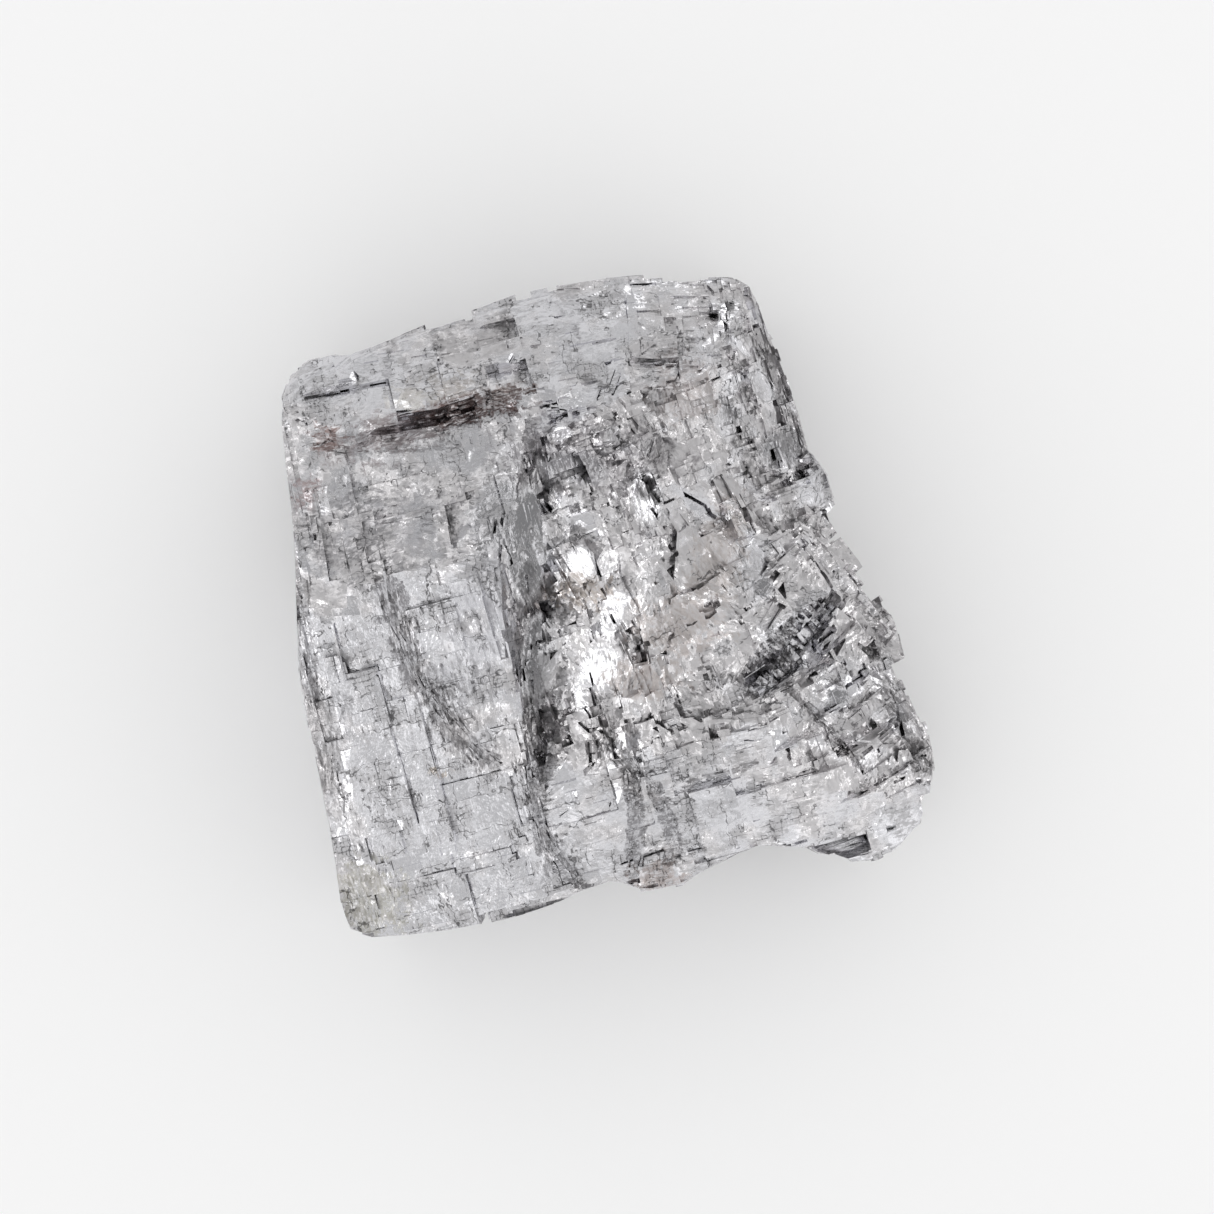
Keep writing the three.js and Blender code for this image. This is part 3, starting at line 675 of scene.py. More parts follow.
class CutterTree:
    """Geometry Nodes that stand a box at each point and cut the boxes out, one pass at a time."""

    def __init__(self) -> None:
        """Builds the tree with its named inputs."""
        self.tree = bpy.data.node_groups.new("cleave_boxes", "GeometryNodeTree")
        face = self.tree.interface
        face.new_socket("Geometry", in_out="INPUT", socket_type="NodeSocketGeometry")
        face.new_socket("Boxes", in_out="INPUT", socket_type="NodeSocketObject")
        face.new_socket("Passes", in_out="INPUT", socket_type="NodeSocketInt")
        face.new_socket("Growth", in_out="INPUT", socket_type="NodeSocketFloat")
        face.new_socket("Material", in_out="INPUT", socket_type="NodeSocketMaterial")
        face.new_socket("Geometry", in_out="OUTPUT", socket_type="NodeSocketGeometry")
        self._link_up()

    def _node(self, kind: str) -> bpy.types.Node:
        """A new node of a kind."""
        return self.tree.nodes.new(kind)

    def _attribute(self, name: str, kind: str) -> bpy.types.NodeSocket:
        """Adds a node that reads a named attribute.

        Args:
            name: the attribute's name.
            kind: its data type.

        Returns:
            The node's output.
        """
        node = self._node("GeometryNodeInputNamedAttribute")
        node.data_type = kind
        node.inputs["Name"].default_value = name
        return node.outputs["Attribute"]

    def _link_up(self) -> None:
        """Places and links the nodes."""
        link = self.tree.links.new
        given, result = self._node("NodeGroupInput"), self._node("NodeGroupOutput")
        points = self._node("GeometryNodeObjectInfo")
        link(given.outputs["Boxes"], points.inputs["Object"])
        first = self._node("GeometryNodeRepeatInput")
        last = self._node("GeometryNodeRepeatOutput")
        first.pair_with_output(last)
        link(given.outputs["Passes"], first.inputs["Iterations"])
        link(given.outputs["Geometry"], first.inputs["Geometry"])
        same = self._node("FunctionNodeCompare")
        same.data_type = "INT"
        same.operation = "EQUAL"
        same_inputs = [socket for socket in same.inputs if socket.enabled and socket.type == "INT"]
        link(self._attribute("pass", "INT"), same_inputs[0])
        link(first.outputs["Iteration"], same_inputs[1])
        size = self._node("ShaderNodeVectorMath")
        size.operation = "ADD"
        link(self._attribute("size", "FLOAT_VECTOR"), size.inputs[0])
        link(given.outputs["Growth"], size.inputs[1])
        cube = self._node("GeometryNodeMeshCube")
        stand = self._node("GeometryNodeInstanceOnPoints")
        link(points.outputs["Geometry"], stand.inputs["Points"])
        link(same.outputs["Result"], stand.inputs["Selection"])
        link(cube.outputs["Mesh"], stand.inputs["Instance"])
        link(self._attribute("turn", "QUATERNION"), stand.inputs["Rotation"])
        link(size.outputs["Vector"], stand.inputs["Scale"])
        real = self._node("GeometryNodeRealizeInstances")
        link(stand.outputs["Instances"], real.inputs["Geometry"])
        cut = self._node("GeometryNodeMeshBoolean")
        cut.operation = "DIFFERENCE"
        cut.solver = "MANIFOLD"
        link(first.outputs["Geometry"], cut.inputs["Mesh 1"])
        link(real.outputs["Geometry"], cut.inputs["Mesh 2"])
        link(cut.outputs["Mesh"], last.inputs["Geometry"])
        paint = self._node("GeometryNodeSetMaterial")
        link(last.outputs["Geometry"], paint.inputs["Geometry"])
        link(given.outputs["Material"], paint.inputs["Material"])
        link(paint.outputs["Geometry"], result.inputs["Geometry"])

    def cut(
        self, mesh: bpy.types.Mesh, boxes: Boxes, growth: float, material: bpy.types.Material
    ) -> bpy.types.Mesh:
        """Cuts boxes out of a mesh.

        Args:
            mesh: the closed mesh to cut.
            boxes: the boxes, sorted into passes here.
            growth: how much larger each box is made, so that neighbours overlap.
            material: the cut mesh's material.

        Returns:
            A new mesh.
        """
        passes = cutting_passes(boxes, growth / 2)
        log.info("cutting %d boxes in %d passes", len(boxes), passes.max() + 1)
        points = bpy.data.objects.new("box_points", self._points(boxes, passes))
        work = bpy.data.objects.new("uncut", mesh)
        for part in (points, work):
            bpy.context.scene.collection.objects.link(part)
        modifier = work.modifiers.new("cleave", "NODES")
        modifier.node_group = self.tree
        values = {"Boxes": points, "Passes": int(passes.max()) + 1, "Growth": growth, "Material": material}
        for item in self.tree.interface.items_tree:
            if item.in_out == "INPUT" and item.name in values:
                modifier[item.identifier] = values[item.name]
        graph = bpy.context.evaluated_depsgraph_get()
        graph.update()
        result = bpy.data.meshes.new_from_object(work.evaluated_get(graph), depsgraph=graph)
        work.modifiers.remove(modifier)
        for part in (points, work):
            bpy.data.objects.remove(part)
        return result

    @staticmethod
    def _points(boxes: Boxes, passes: Array) -> bpy.types.Mesh:
        """A mesh of one point for each box, with its size, turn and pass as attributes.

        Args:
            boxes: the boxes.
            passes: the pass that each is cut in.

        Returns:
            The mesh.
        """
        mesh = bpy.data.meshes.new("box_points")
        mesh.from_pydata(boxes.centres.tolist(), [], [])
        mesh.attributes.new("size", "FLOAT_VECTOR", "POINT").data.foreach_set(
            "vector", (boxes.halves * 2).astype(np.float32).ravel()
        )
        mesh.attributes.new("turn", "QUATERNION", "POINT").data.foreach_set(
            "value", quaternions(boxes.turns).astype(np.float32).ravel()
        )
        mesh.attributes.new("pass", "INT", "POINT").data.foreach_set("value", passes.astype(np.int32))
        return mesh


def quaternions(turns: Array) -> Array:
    """Matrices as quaternions.

    Args:
        turns: N matrices.

    Returns:
        N by 4 values, w first.
    """
    trace_terms = np.stack(
        [
            1 + turns[:, 0, 0] + turns[:, 1, 1] + turns[:, 2, 2],
            1 + turns[:, 0, 0] - turns[:, 1, 1] - turns[:, 2, 2],
            1 - turns[:, 0, 0] + turns[:, 1, 1] - turns[:, 2, 2],
            1 - turns[:, 0, 0] - turns[:, 1, 1] + turns[:, 2, 2],
        ],
        axis=1,
    )
    size = np.sqrt(np.clip(trace_terms, 0, None)) / 2
    size[:, 1] *= np.where(turns[:, 2, 1] >= turns[:, 1, 2], 1, -1)
    size[:, 2] *= np.where(turns[:, 0, 2] >= turns[:, 2, 0], 1, -1)
    size[:, 3] *= np.where(turns[:, 1, 0] >= turns[:, 0, 1], 1, -1)
    return size / np.linalg.norm(size, axis=1, keepdims=True)


def largest_island(mesh: bpy.types.Mesh) -> None:
    """Deletes every loose part of a mesh but the largest.

    Args:
        mesh: the mesh, changed in place.
    """
    count = len(mesh.vertices)
    ends = np.empty(len(mesh.edges) * 2, np.int64)
    mesh.edges.foreach_get("vertices", ends)
    first, second = ends.reshape(-1, 2).T
    label = np.arange(count)
    while True:
        lower = np.minimum(label[first], label[second])
        before = label.copy()
        np.minimum.at(label, first, lower)
        np.minimum.at(label, second, lower)
        label = label[label]
        if (label == before).all():
            break
    values, counts = np.unique(label, return_counts=True)
    loose = np.nonzero(label != values[counts.argmax()])[0]
    log.info("islands: %d, loose vertices: %d of %d", len(values), len(loose), count)
    if len(loose):
        work = bmesh.new()
        work.from_mesh(mesh)
        work.verts.ensure_lookup_table()
        bmesh.ops.delete(work, geom=[work.verts[i] for i in loose.tolist()], context="VERTS")
        work.to_mesh(mesh)
        work.free()


@dataclass(frozen=True)
class FaceSplitter:
    """Splits large faces on top along a grid, so that marks held at their corners show inside them.

    A face is split where it reaches past a plane by more than the margin, and a corner within the
    snap of the plane counts as on it.
    """

    area: float = 1.3
    spacing: float = 1.2
    half: float = 34.0
    upright: float = 0.3
    margin: float = 0.01
    snap: float = 0.005

    def split(self, mesh: bpy.types.Mesh) -> None:
        """Splits the large faces, which leaves the shape as it is.

        Args:
            mesh: the cut mesh in millimetres, which is changed.
        """
        work = bmesh.new()
        work.from_mesh(mesh)
        large = [face for face in work.faces if face.normal.z > self.upright and face.calc_area() > self.area]
        for axis in (0, 1):
            across = Vector((1 - axis, axis, 0))
            for place in np.arange(-self.half, self.half, self.spacing):
                crossing = [face for face in large if self._crosses(face, axis, place)]
                if crossing:
                    large += self._bisect(work, crossing, across, place)
        work.to_mesh(mesh)
        work.free()

    def _crosses(self, face: bmesh.types.BMFace, axis: int, place: float) -> bool:
        """Whether a face reaches to both sides of a plane.

        Args:
            face: the face.
            axis: the axis that the plane is square to.
            place: where the plane lies on it.

        Returns:
            True or false.
        """
        along = [vert.co[axis] for vert in face.verts]
        return min(along) < place - self.margin and max(along) > place + self.margin

    def _bisect(
        self, work: bmesh.types.BMesh, faces: list[bmesh.types.BMFace], across: Vector, place: float
    ) -> list[bmesh.types.BMFace]:
        """Cuts faces with a plane.

        Args:
            work: the mesh that they belong to.
            faces: the faces.
            across: the plane's normal.
            place: how far along its normal the plane lies.

        Returns:
            The new faces.
        """
        known = set(faces)
        around = {part for face in faces for part in (*face.verts, *face.edges)}
        cut = bmesh.ops.bisect_plane(
            work, geom=[*faces, *around], plane_co=across * place, plane_no=across, dist=self.snap
        )
        return [part for part in cut["geom"] if isinstance(part, bmesh.types.BMFace) and part not in known]


# How far the grain is turned at most in wholly broken domains, in degrees, in cells of what size, and
# how far and over what distance the cells' borders wander.
GRAIN_TURN = 80.0
GRAIN_CELL = 3.6
GRAIN_WANDER = 3.0
GRAIN_SPACING = 1.6
GRAIN_SEEDS = (64, 65, 66)
GRAIN_TURN_SEED = 67

# What sets the crazing of one domain apart from the next, and of one cleavage face from another.
DOMAIN_APART = 7.0
FACE_APART = 2.3

# The two of the grain's directions that run along a face, by the one that the face looks along.
ALONG_FACE = np.array(((1, 2), (0, 2), (0, 1)))

# How deep a place counts as inside a mark that is nowhere near.
FAR_OUTSIDE = -2.0


def grain_turns(centres: Array, domain: Array) -> Array:
    """How far the grain is turned at each face, cell by cell and most in broken domains.

    Args:
        centres: N by 3 middles of the faces, in millimetres.
        domain: the index of each face's domain.

    Returns:
        N angles in radians.
    """
    noises = [lattice_noise(centres, GRAIN_SPACING, seed) for seed in GRAIN_SEEDS]
    cells = np.floor((centres + GRAIN_WANDER * np.stack(noises, axis=1)) / GRAIN_CELL).astype(np.int64)
    broken = np.array([cut.broken for cut in DOMAINS.values()])[domain]
    return np.radians(GRAIN_TURN) * broken**2 * (2 * hashed(cells, GRAIN_TURN_SEED) - 1)


def marks_at(places: Array) -> dict[str, Array]:
    """What the marks leave at some places.

    Args:
        places: N by 3 places in millimetres.

    Returns:
        Under dark (painted shade and smudges), facing, and stain_and_shading (stains and uncoloured tints of
        painted shade and light), how deep each place is inside the nearest mark of that kind and the mark's
        strength. Under tint, the colour of the nearest of those, and under towards, where the nearest cluster
        of facets faces.
    """
    count = len(places)
    held = {"tint": np.ones((count, 3)), "towards": np.tile((0.0, 0.0, 1.0), (count, 1))}
    # dark holds painted shade in pits, on steps and along furrows, with smudges; stain_and_shading holds
    # stains and uncoloured tints of painted shade and light.
    for name, patches in (("dark", (*DARK_PATCHES, *FURROWS)), ("facing", FACINGS), ("stain_and_shading", STAINS_AND_SHADING)):
        mark = held[name] = np.zeros((count, 3))
        mark[:, 0] = FAR_OUTSIDE
        for patch in patches:
            inside = 1 - patch.distance(places)
            nearer = inside > mark[:, 0]
            mark[nearer, 0] = inside[nearer]
            mark[nearer, 1] = patch.strength
            if name == "stain_and_shading":
                held["tint"][nearer] = patch.colour
            if name == "facing":
                held["towards"][nearer] = patch.towards.value
    return held


def follow_grain(mesh: bpy.types.Mesh) -> None:
    """Gives each corner its place along the crystal domain's own directions, and its marks.

    The attribute grain holds the three places in millimetres, the streaks' direction first. In broken
    domains it is turned, each few millimetres of the face its own way. Cleavage holds the two that
    run along the face, with a third value that sets domains and faces apart. Broken says how finely
    the surface breaks. The rest are the marks.

    Args:
        mesh: the cut mesh in millimetres, which gets the attributes.
    """
    corner_count, face_count = len(mesh.loops), len(mesh.polygons)
    vertices = np.empty(len(mesh.vertices) * 3)
    mesh.vertices.foreach_get("co", vertices)
    corner_vertex = np.empty(corner_count, np.int64)
    mesh.loops.foreach_get("vertex_index", corner_vertex)
    corners = vertices.reshape(-1, 3)[corner_vertex]
    centres, normals = np.empty(face_count * 3), np.empty(face_count * 3)
    mesh.polygons.foreach_get("center", centres)
    mesh.polygons.foreach_get("normal", normals)
    centres, normals = centres.reshape(-1, 3), normals.reshape(-1, 3)
    sides = np.empty(face_count, np.int64)
    mesh.polygons.foreach_get("loop_total", sides)

    domain = nearest_domain(centres)[0]
    axes = np.array([turn_matrix(cut.turn) for cut in DOMAINS.values()])
    squareness = np.abs(np.einsum("nji,nj->ni", axes[domain], normals))
    across = np.repeat(squareness.argmax(axis=1), sides)
    turn = np.repeat(grain_turns(centres, domain), sides)
    domain = np.repeat(domain, sides)

    grain = np.einsum("nji,nj->ni", axes[domain], corners - GRAIN_ORIGINS[domain])
    along, aside = grain[:, 0].copy(), grain[:, 1].copy()
    grain[:, 0] = along * np.cos(turn) - aside * np.sin(turn)
    grain[:, 1] = along * np.sin(turn) + aside * np.cos(turn)
    rows = np.arange(corner_count)
    first, second = ALONG_FACE[across].T
    apart = domain * DOMAIN_APART + across * FACE_APART
    cleavage = np.stack([grain[rows, first], grain[rows, second], apart], axis=1)
    streaks = np.array([cut.streaks for cut in DOMAINS.values()])[domain]
    ordered = np.stack([grain[rows, streaks], grain[rows, 1 - streaks], grain[:, 2]], axis=1)
    broken = np.array([cut.broken for cut in DOMAINS.values()])[domain]
    for grade in GRADES:
        broken += grade.share(corners)

    mesh.attributes.new("broken", "FLOAT", "CORNER").data.foreach_set("value", broken.astype(np.float32))
    for name, values in {"grain": ordered, "cleavage": cleavage, **marks_at(corners)}.items():
        attribute = mesh.attributes.new(name, "FLOAT_VECTOR", "CORNER")
        attribute.data.foreach_set("vector", values.astype(np.float32).ravel())


# ---------------------------------------------------------------- finish


@dataclass(frozen=True)
class Noise:
    """How a noise texture looks."""

    scale: float
    detail: float
    roughness: float


class NodeSketch:
    """Short ways to place and link nodes in one tree."""

    def __init__(self, tree: bpy.types.NodeTree) -> None:
        """Works on a tree.

        Args:
            tree: the node tree to add to.
        """
        self.tree = tree

    def add(self, kind: str, settings: dict[str, object] | None = None, **inputs: object) -> bpy.types.Node:
        """Adds a node.

        Args:
            kind: the node's type name.
            settings: the node's own properties.
            **inputs: values or sockets, by input name with _ for a space.

        Returns:
            The node.
        """
        node = self.tree.nodes.new(kind)
        for name, value in (settings or {}).items():
            setattr(node, name, value)
        for name, value in inputs.items():
            self.feed(node, name.replace("_", " "), value)
        return node

    def feed(self, node: bpy.types.Node, name: str | int, value: object) -> None:
        """Sets or links one input of a node.

        Args:
            node: the node.
            name: the input's name or number.
            value: a number, a tuple or an output socket.
        """
        socket = node.inputs[name]
        if isinstance(value, bpy.types.NodeSocket):
            self.tree.links.new(value, socket)
        else:
            socket.default_value = value

    def math(self, operation: str, *values: object) -> bpy.types.NodeSocket:
        """Adds a maths node.

        Args:
            operation: what it works out.
            *values: its numbers or sockets.

        Returns:
            The result.
        """
        node = self.add("ShaderNodeMath", {"operation": operation})
        for i, value in enumerate(values):
            self.feed(node, i, value)
        return node.outputs[0]

    def vector(self, operation: str, *values: object) -> bpy.types.NodeSocket:
        """Adds a vector maths node.

        Args:
            operation: what it works out.
            *values: its vectors, numbers or sockets.

        Returns:
            The resulting vector, or a dot product's value.
        """
        node = self.add("ShaderNodeVectorMath", {"operation": operation})
        for i, value in enumerate(values):
            name = "Scale" if operation == "SCALE" and i == 1 else i
            self.feed(node, name, value)
        return node.outputs["Value" if operation == "DOT_PRODUCT" else "Vector"]

    def ramp(
        self, value: object, low: object, high: object, start: object = 0.0, end: object = 1.0
    ) -> bpy.types.NodeSocket:
        """Adds a smooth step from start to end as a value goes from low to high.

        Args:
            value: the value.
            low: where the step begins.
            high: where it is done.
            start: the result before it.
            end: the result after it.

        Returns:
            The result.
        """
        node = self.add("ShaderNodeMapRange", {"interpolation_type": "SMOOTHSTEP", "clamp": False})
        for i, number in enumerate((value, low, high, start, end)):
            self.feed(node, i, number)
        return node.outputs[0]

    def mix(self, factor: object, first: object, second: object, blend: str = "MIX") -> bpy.types.NodeSocket:
        """Adds a mix of two colours.

        Args:
            factor: the second colour's share.
            first: the first colour.
            second: the second colour.
            blend: how they are mixed.

        Returns:
            The mixed colour.
        """
        node = self.add("ShaderNodeMix", {"data_type": "RGBA", "blend_type": blend})
        for name, value in ((0, factor), (6, first), (7, second)):
            self.feed(node, name, value)
        return node.outputs[2]

    def noise(self, place: object, look: Noise) -> bpy.types.Node:
        """A noise texture."""
        settings = {"Scale": look.scale, "Detail": look.detail, "Roughness": look.roughness}
        return self.add("ShaderNodeTexNoise", Vector=place, **settings)

    def attribute(self, name: str, output: str = "Vector") -> bpy.types.NodeSocket:
        """What a mesh attribute holds."""
        return self.add("ShaderNodeAttribute", {"attribute_name": name}).outputs[output]


@dataclass
class NodeGroup:
    """A shader node group with named inputs and outputs."""

    name: str
    inputs: dict[str, tuple[str, object]]
    outputs: dict[str, str]
    tree: bpy.types.NodeTree = field(init=False)
    sketch: NodeSketch = field(init=False)
    given: bpy.types.Node = field(init=False)
    result: bpy.types.Node = field(init=False)

    def __post_init__(self) -> None:
        """Makes the tree with its sockets."""
        self.tree = bpy.data.node_groups.new(self.name, "ShaderNodeTree")
        for name, (kind, value) in self.inputs.items():
            socket = self.tree.interface.new_socket(name, in_out="INPUT", socket_type=f"NodeSocket{kind}")
            if value is not None:
                socket.default_value = value
        for name, kind in self.outputs.items():
            self.tree.interface.new_socket(name, in_out="OUTPUT", socket_type=f"NodeSocket{kind}")
        self.sketch = NodeSketch(self.tree)
        self.given = self.sketch.add("NodeGroupInput")
        self.result = self.sketch.add("NodeGroupOutput")

    def use(self, sketch: NodeSketch, **inputs: object) -> bpy.types.Node:
        """Places the group in another tree.

        Args:
            sketch: the tree to place it in.
            **inputs: values or sockets, by input name with _ for a space.

        Returns:
            The group's node.
        """
        node = sketch.add("ShaderNodeGroup", {"node_tree": self.tree})
        for name, value in inputs.items():
            sketch.feed(node, name.replace("_", " "), value)
        return node


# How hairlines jog sideways, in rows, and how far one family's rows lie from the next's.
JOG_NOISE = Noise(2.1, 2, 0.7)
JOG = 1.2
ROWS_APART = 13.7

# Where hairlines are there at all: a noise of its own, the limit at no share, how much a full share
# lowers it, and over what range they fade in. Then how soft their edges are, as a share of their
# width, and below what presence they thin out.
PRESENCE_NOISE = Noise(1.3, 1, 0.6)
PRESENCE_SHIFT = (11.7, 5.3, 2.9)
PRESENCE_LIMIT = 0.78
PRESENCE_SHARE = 0.55
PRESENCE_FADE = 0.16
LINE_CORE = 0.3
LINE_THINNED = 0.4


def crack_group() -> NodeGroup:
    """Hairlines that run one way, unevenly spaced, broken off and jogged sideways.

    Returns:
        The group: Along, Across, Apart, Length, Spacing, Width and Share in, Lines out.
    """
    group = NodeGroup(
        "cleavage_hairlines",
        {
            "Along": ("Float", 0.0),
            "Across": ("Float", 0.0),
            "Apart": ("Float", 0.0),
            "Length": ("Float", 3.0),
            "Spacing": ("Float", 1.6),
            "Width": ("Float", 0.06),
            "Share": ("Float", 0.5),
        },
        {"Lines": "Float"},
    )
    sketch, given = group.sketch, group.given.outputs
    place = sketch.add("ShaderNodeCombineXYZ", Z=given["Apart"])
    sketch.feed(place, "X", sketch.math("DIVIDE", given["Along"], given["Length"]))
    sketch.feed(place, "Y", sketch.math("DIVIDE", given["Across"], given["Spacing"]))
    wander = sketch.noise(place.outputs[0], JOG_NOISE).outputs[0]
    jogged = sketch.math("MULTIPLY", sketch.math("SUBTRACT", wander, 0.5), JOG)
    row = sketch.math("ADD", sketch.math("DIVIDE", given["Across"], given["Spacing"]), jogged)
    apart = sketch.math("ADD", row, sketch.math("MULTIPLY", given["Apart"], ROWS_APART))
    settings = {"voronoi_dimensions": "1D", "feature": "DISTANCE_TO_EDGE"}
    cells = sketch.add("ShaderNodeTexVoronoi", settings, W=apart, Scale=1.0)
    gap = sketch.math("MULTIPLY", cells.outputs["Distance"], given["Spacing"])
    shifted = sketch.vector("ADD", place.outputs[0], PRESENCE_SHIFT)
    presence = sketch.noise(shifted, PRESENCE_NOISE).outputs[0]
    lowered = sketch.math("MULTIPLY", given["Share"], PRESENCE_SHARE)
    limit = sketch.math("SUBTRACT", PRESENCE_LIMIT, lowered)
    kept = sketch.ramp(presence, limit, sketch.math("ADD", limit, PRESENCE_FADE))
    width = sketch.math("MULTIPLY", given["Width"], kept)
    line = sketch.ramp(gap, width, sketch.math("MULTIPLY", width, LINE_CORE))
    lines = sketch.math("MULTIPLY", line, sketch.ramp(kept, 0.0, LINE_THINNED))
    sketch.feed(group.result, "Lines", lines)
    return group


def facet_group() -> NodeGroup:
    """Small ragged facets, each tilted its own way.

    Returns:
        The group: Grain, Warp, Rag, Stretch, Fineness and Amount in, Tilt and Shade out.
    """
    group = NodeGroup(
        "ragged_facets",
        {
            "Grain": ("Vector", None),
            "Warp": ("Vector", None),
            "Rag": ("Float", 1.0),
            "Stretch": ("Vector", (1, 1, 1)),
            "Fineness": ("Float", 1.0),
            "Amount": ("Float", 0.1),
        },
        {"Tilt": "Vector", "Shade": "Float"},
    )
    sketch, given = group.sketch, group.given.outputs
    strayed = sketch.vector("ADD", given["Grain"], sketch.vector("SCALE", given["Warp"], given["Rag"]))
    stretched = sketch.vector("MULTIPLY", strayed, given["Stretch"])
    cells = sketch.add("ShaderNodeTexVoronoi", Vector=stretched, Scale=given["Fineness"])
    centred = sketch.vector("SUBTRACT", cells.outputs["Color"], (0.5, 0.5, 0.5))
    sketch.feed(group.result, "Tilt", sketch.vector("SCALE", centred, given["Amount"]))
    shade = sketch.add("ShaderNodeSeparateColor", Color=cells.outputs["Color"])
    sketch.feed(group.result, "Shade", shade.outputs[0])
    return group


# How far out a patch's soft share begins, in its own reach, and over what part of it the share grows.
SHARE_REACH = 1.4
SHARE_FADE = 0.9


@dataclass(frozen=True)
class Patch:
    """A patch of the surface in millimetres: where it is and how far it reaches.

    It is turned anticlockwise, in radians, and has a strength.
    """

    centre: Triple
    reach: Triple
    turn: float = 0.0
    strength: float = 0.8

    def distance(self, points: Array) -> Array:
        """How far points are from the middle of the patch, 1 at its edge.

        Args:
            points: N by 3 places in millimetres.

        Returns:
            N values.
        """
        offset = points - self.centre
        cos, sin = math.cos(self.turn), math.sin(self.turn)
        along = offset[:, 0] * cos + offset[:, 1] * sin
        across = offset[:, 1] * cos - offset[:, 0] * sin
        return np.linalg.norm(np.stack([along, across, offset[:, 2]], axis=1) / self.reach, axis=1)

    def share(self, points: Array) -> Array:
        """The patch's soft strength at some points.

        Args:
            points: N by 3 places in millimetres.

        Returns:
            N values.
        """
        step = np.clip((SHARE_REACH - self.distance(points)) / SHARE_FADE, 0, 1)
        return self.strength * step * step * (3 - 2 * step)


@dataclass(frozen=True)
class StainAndShading(Patch):
    """A patch with a tint, which multiplies the metal's colour: a real stain where the tint is coloured,
    painted shade or painted light where it is an uncoloured grey.
    """

    colour: Triple = (0.5, 0.5, 0.5)


# Brown, reddish, cream, olive and warm stains, and four uncoloured tints: three darken places as painted
# shade, one lightens a place as painted light.
STAINS_AND_SHADING: tuple[StainAndShading, ...] = (
    StainAndShading((-14.6, 18.8, 28), (6.8, 1.4, 8), 0.2, 1.0, (0.33, 0.25, 0.235)),
    StainAndShading((-21.5, 16.6, 28), (6.2, 1.8, 8), 0.2, 0.9, (0.6, 0.545, 0.545)),
    StainAndShading((-27.4, 16.2, 27), (2.0, 1.3, 8), 0.0, 0.9, (0.5, 0.37, 0.34)),
    StainAndShading((-10.8, 20.2, 29), (3.4, 1.0, 8), 0.2, 1.0, (0.42, 0.35, 0.33)),
    StainAndShading((-19.3, 20.1, 28), (2.4, 1.3, 8), 0.0, 0.9, (1.1, 1.08, 1.02)),
    StainAndShading((-15.7, 21.4, 28), (2.6, 1.4, 8), 0.0, 0.8, (0.66, 0.63, 0.59)),
    StainAndShading((-29.6, 10.9, 26), (1.7, 1.3, 9), 0.0, 0.9, (0.6, 0.5, 0.49)),
    StainAndShading((-2.6, 1.3, 27), (2.8, 1.7, 9), 0.0, 0.9, (0.8, 0.735, 0.67)),
    StainAndShading((6.6, -1.9, 28), (4.4, 2.8, 9), 0.0, 0.9, (0.87, 0.82, 0.785)),
    StainAndShading((11.0, 4.7, 28), (2.2, 5.4, 9), -0.2, 0.9, (0.86, 0.82, 0.79)),
    StainAndShading((7.6, 21.2, 27), (2.8, 3.4, 9), 0.0, 0.9, (0.84, 0.8, 0.78)),
    StainAndShading((-16.3, -16.4, 29), (1.1, 0.6, 9), 0.0, 0.8, (0.95, 0.84, 0.7)),
    # Painted shade: an uncoloured grey that darkens the shoulder band.
    StainAndShading((-22.6, 7.2, 31), (8.8, 4.0, 9), 0.1, 1.0, (0.64, 0.64, 0.65)),
    # Painted shade: an uncoloured grey on the left block beside the valley.
    StainAndShading((-12.6, -1.6, 31), (3.2, 6.6, 9), -0.15, 0.9, (0.78, 0.78, 0.79)),
    # Painted shade: an uncoloured grey over the peak's upper end.
    StainAndShading((-2.4, 14.6, 29), (7.6, 3.6, 9), -0.1, 1.0, (0.6, 0.59, 0.6)),
    # Painted light: an uncoloured tint above 1 that lightens the lower right face.
    StainAndShading((21.0, -21.0, 24), (10.0, 4.4, 14), 0.1, 1.0, (1.14, 1.14, 1.14)),
    StainAndShading((-23.5, -29.5, 27), (3.4, 4.0, 9), 0.0, 0.9, (0.72, 0.71, 0.64)),
    StainAndShading((5.3, -26.9, 20), (2.9, 2.4, 14), 0.0, 0.9, (0.78, 0.7, 0.66)),
    StainAndShading((3.5, -7.3, 28), (3.6, 1.8, 9), 0.0, 0.8, (0.84, 0.78, 0.74)),
)
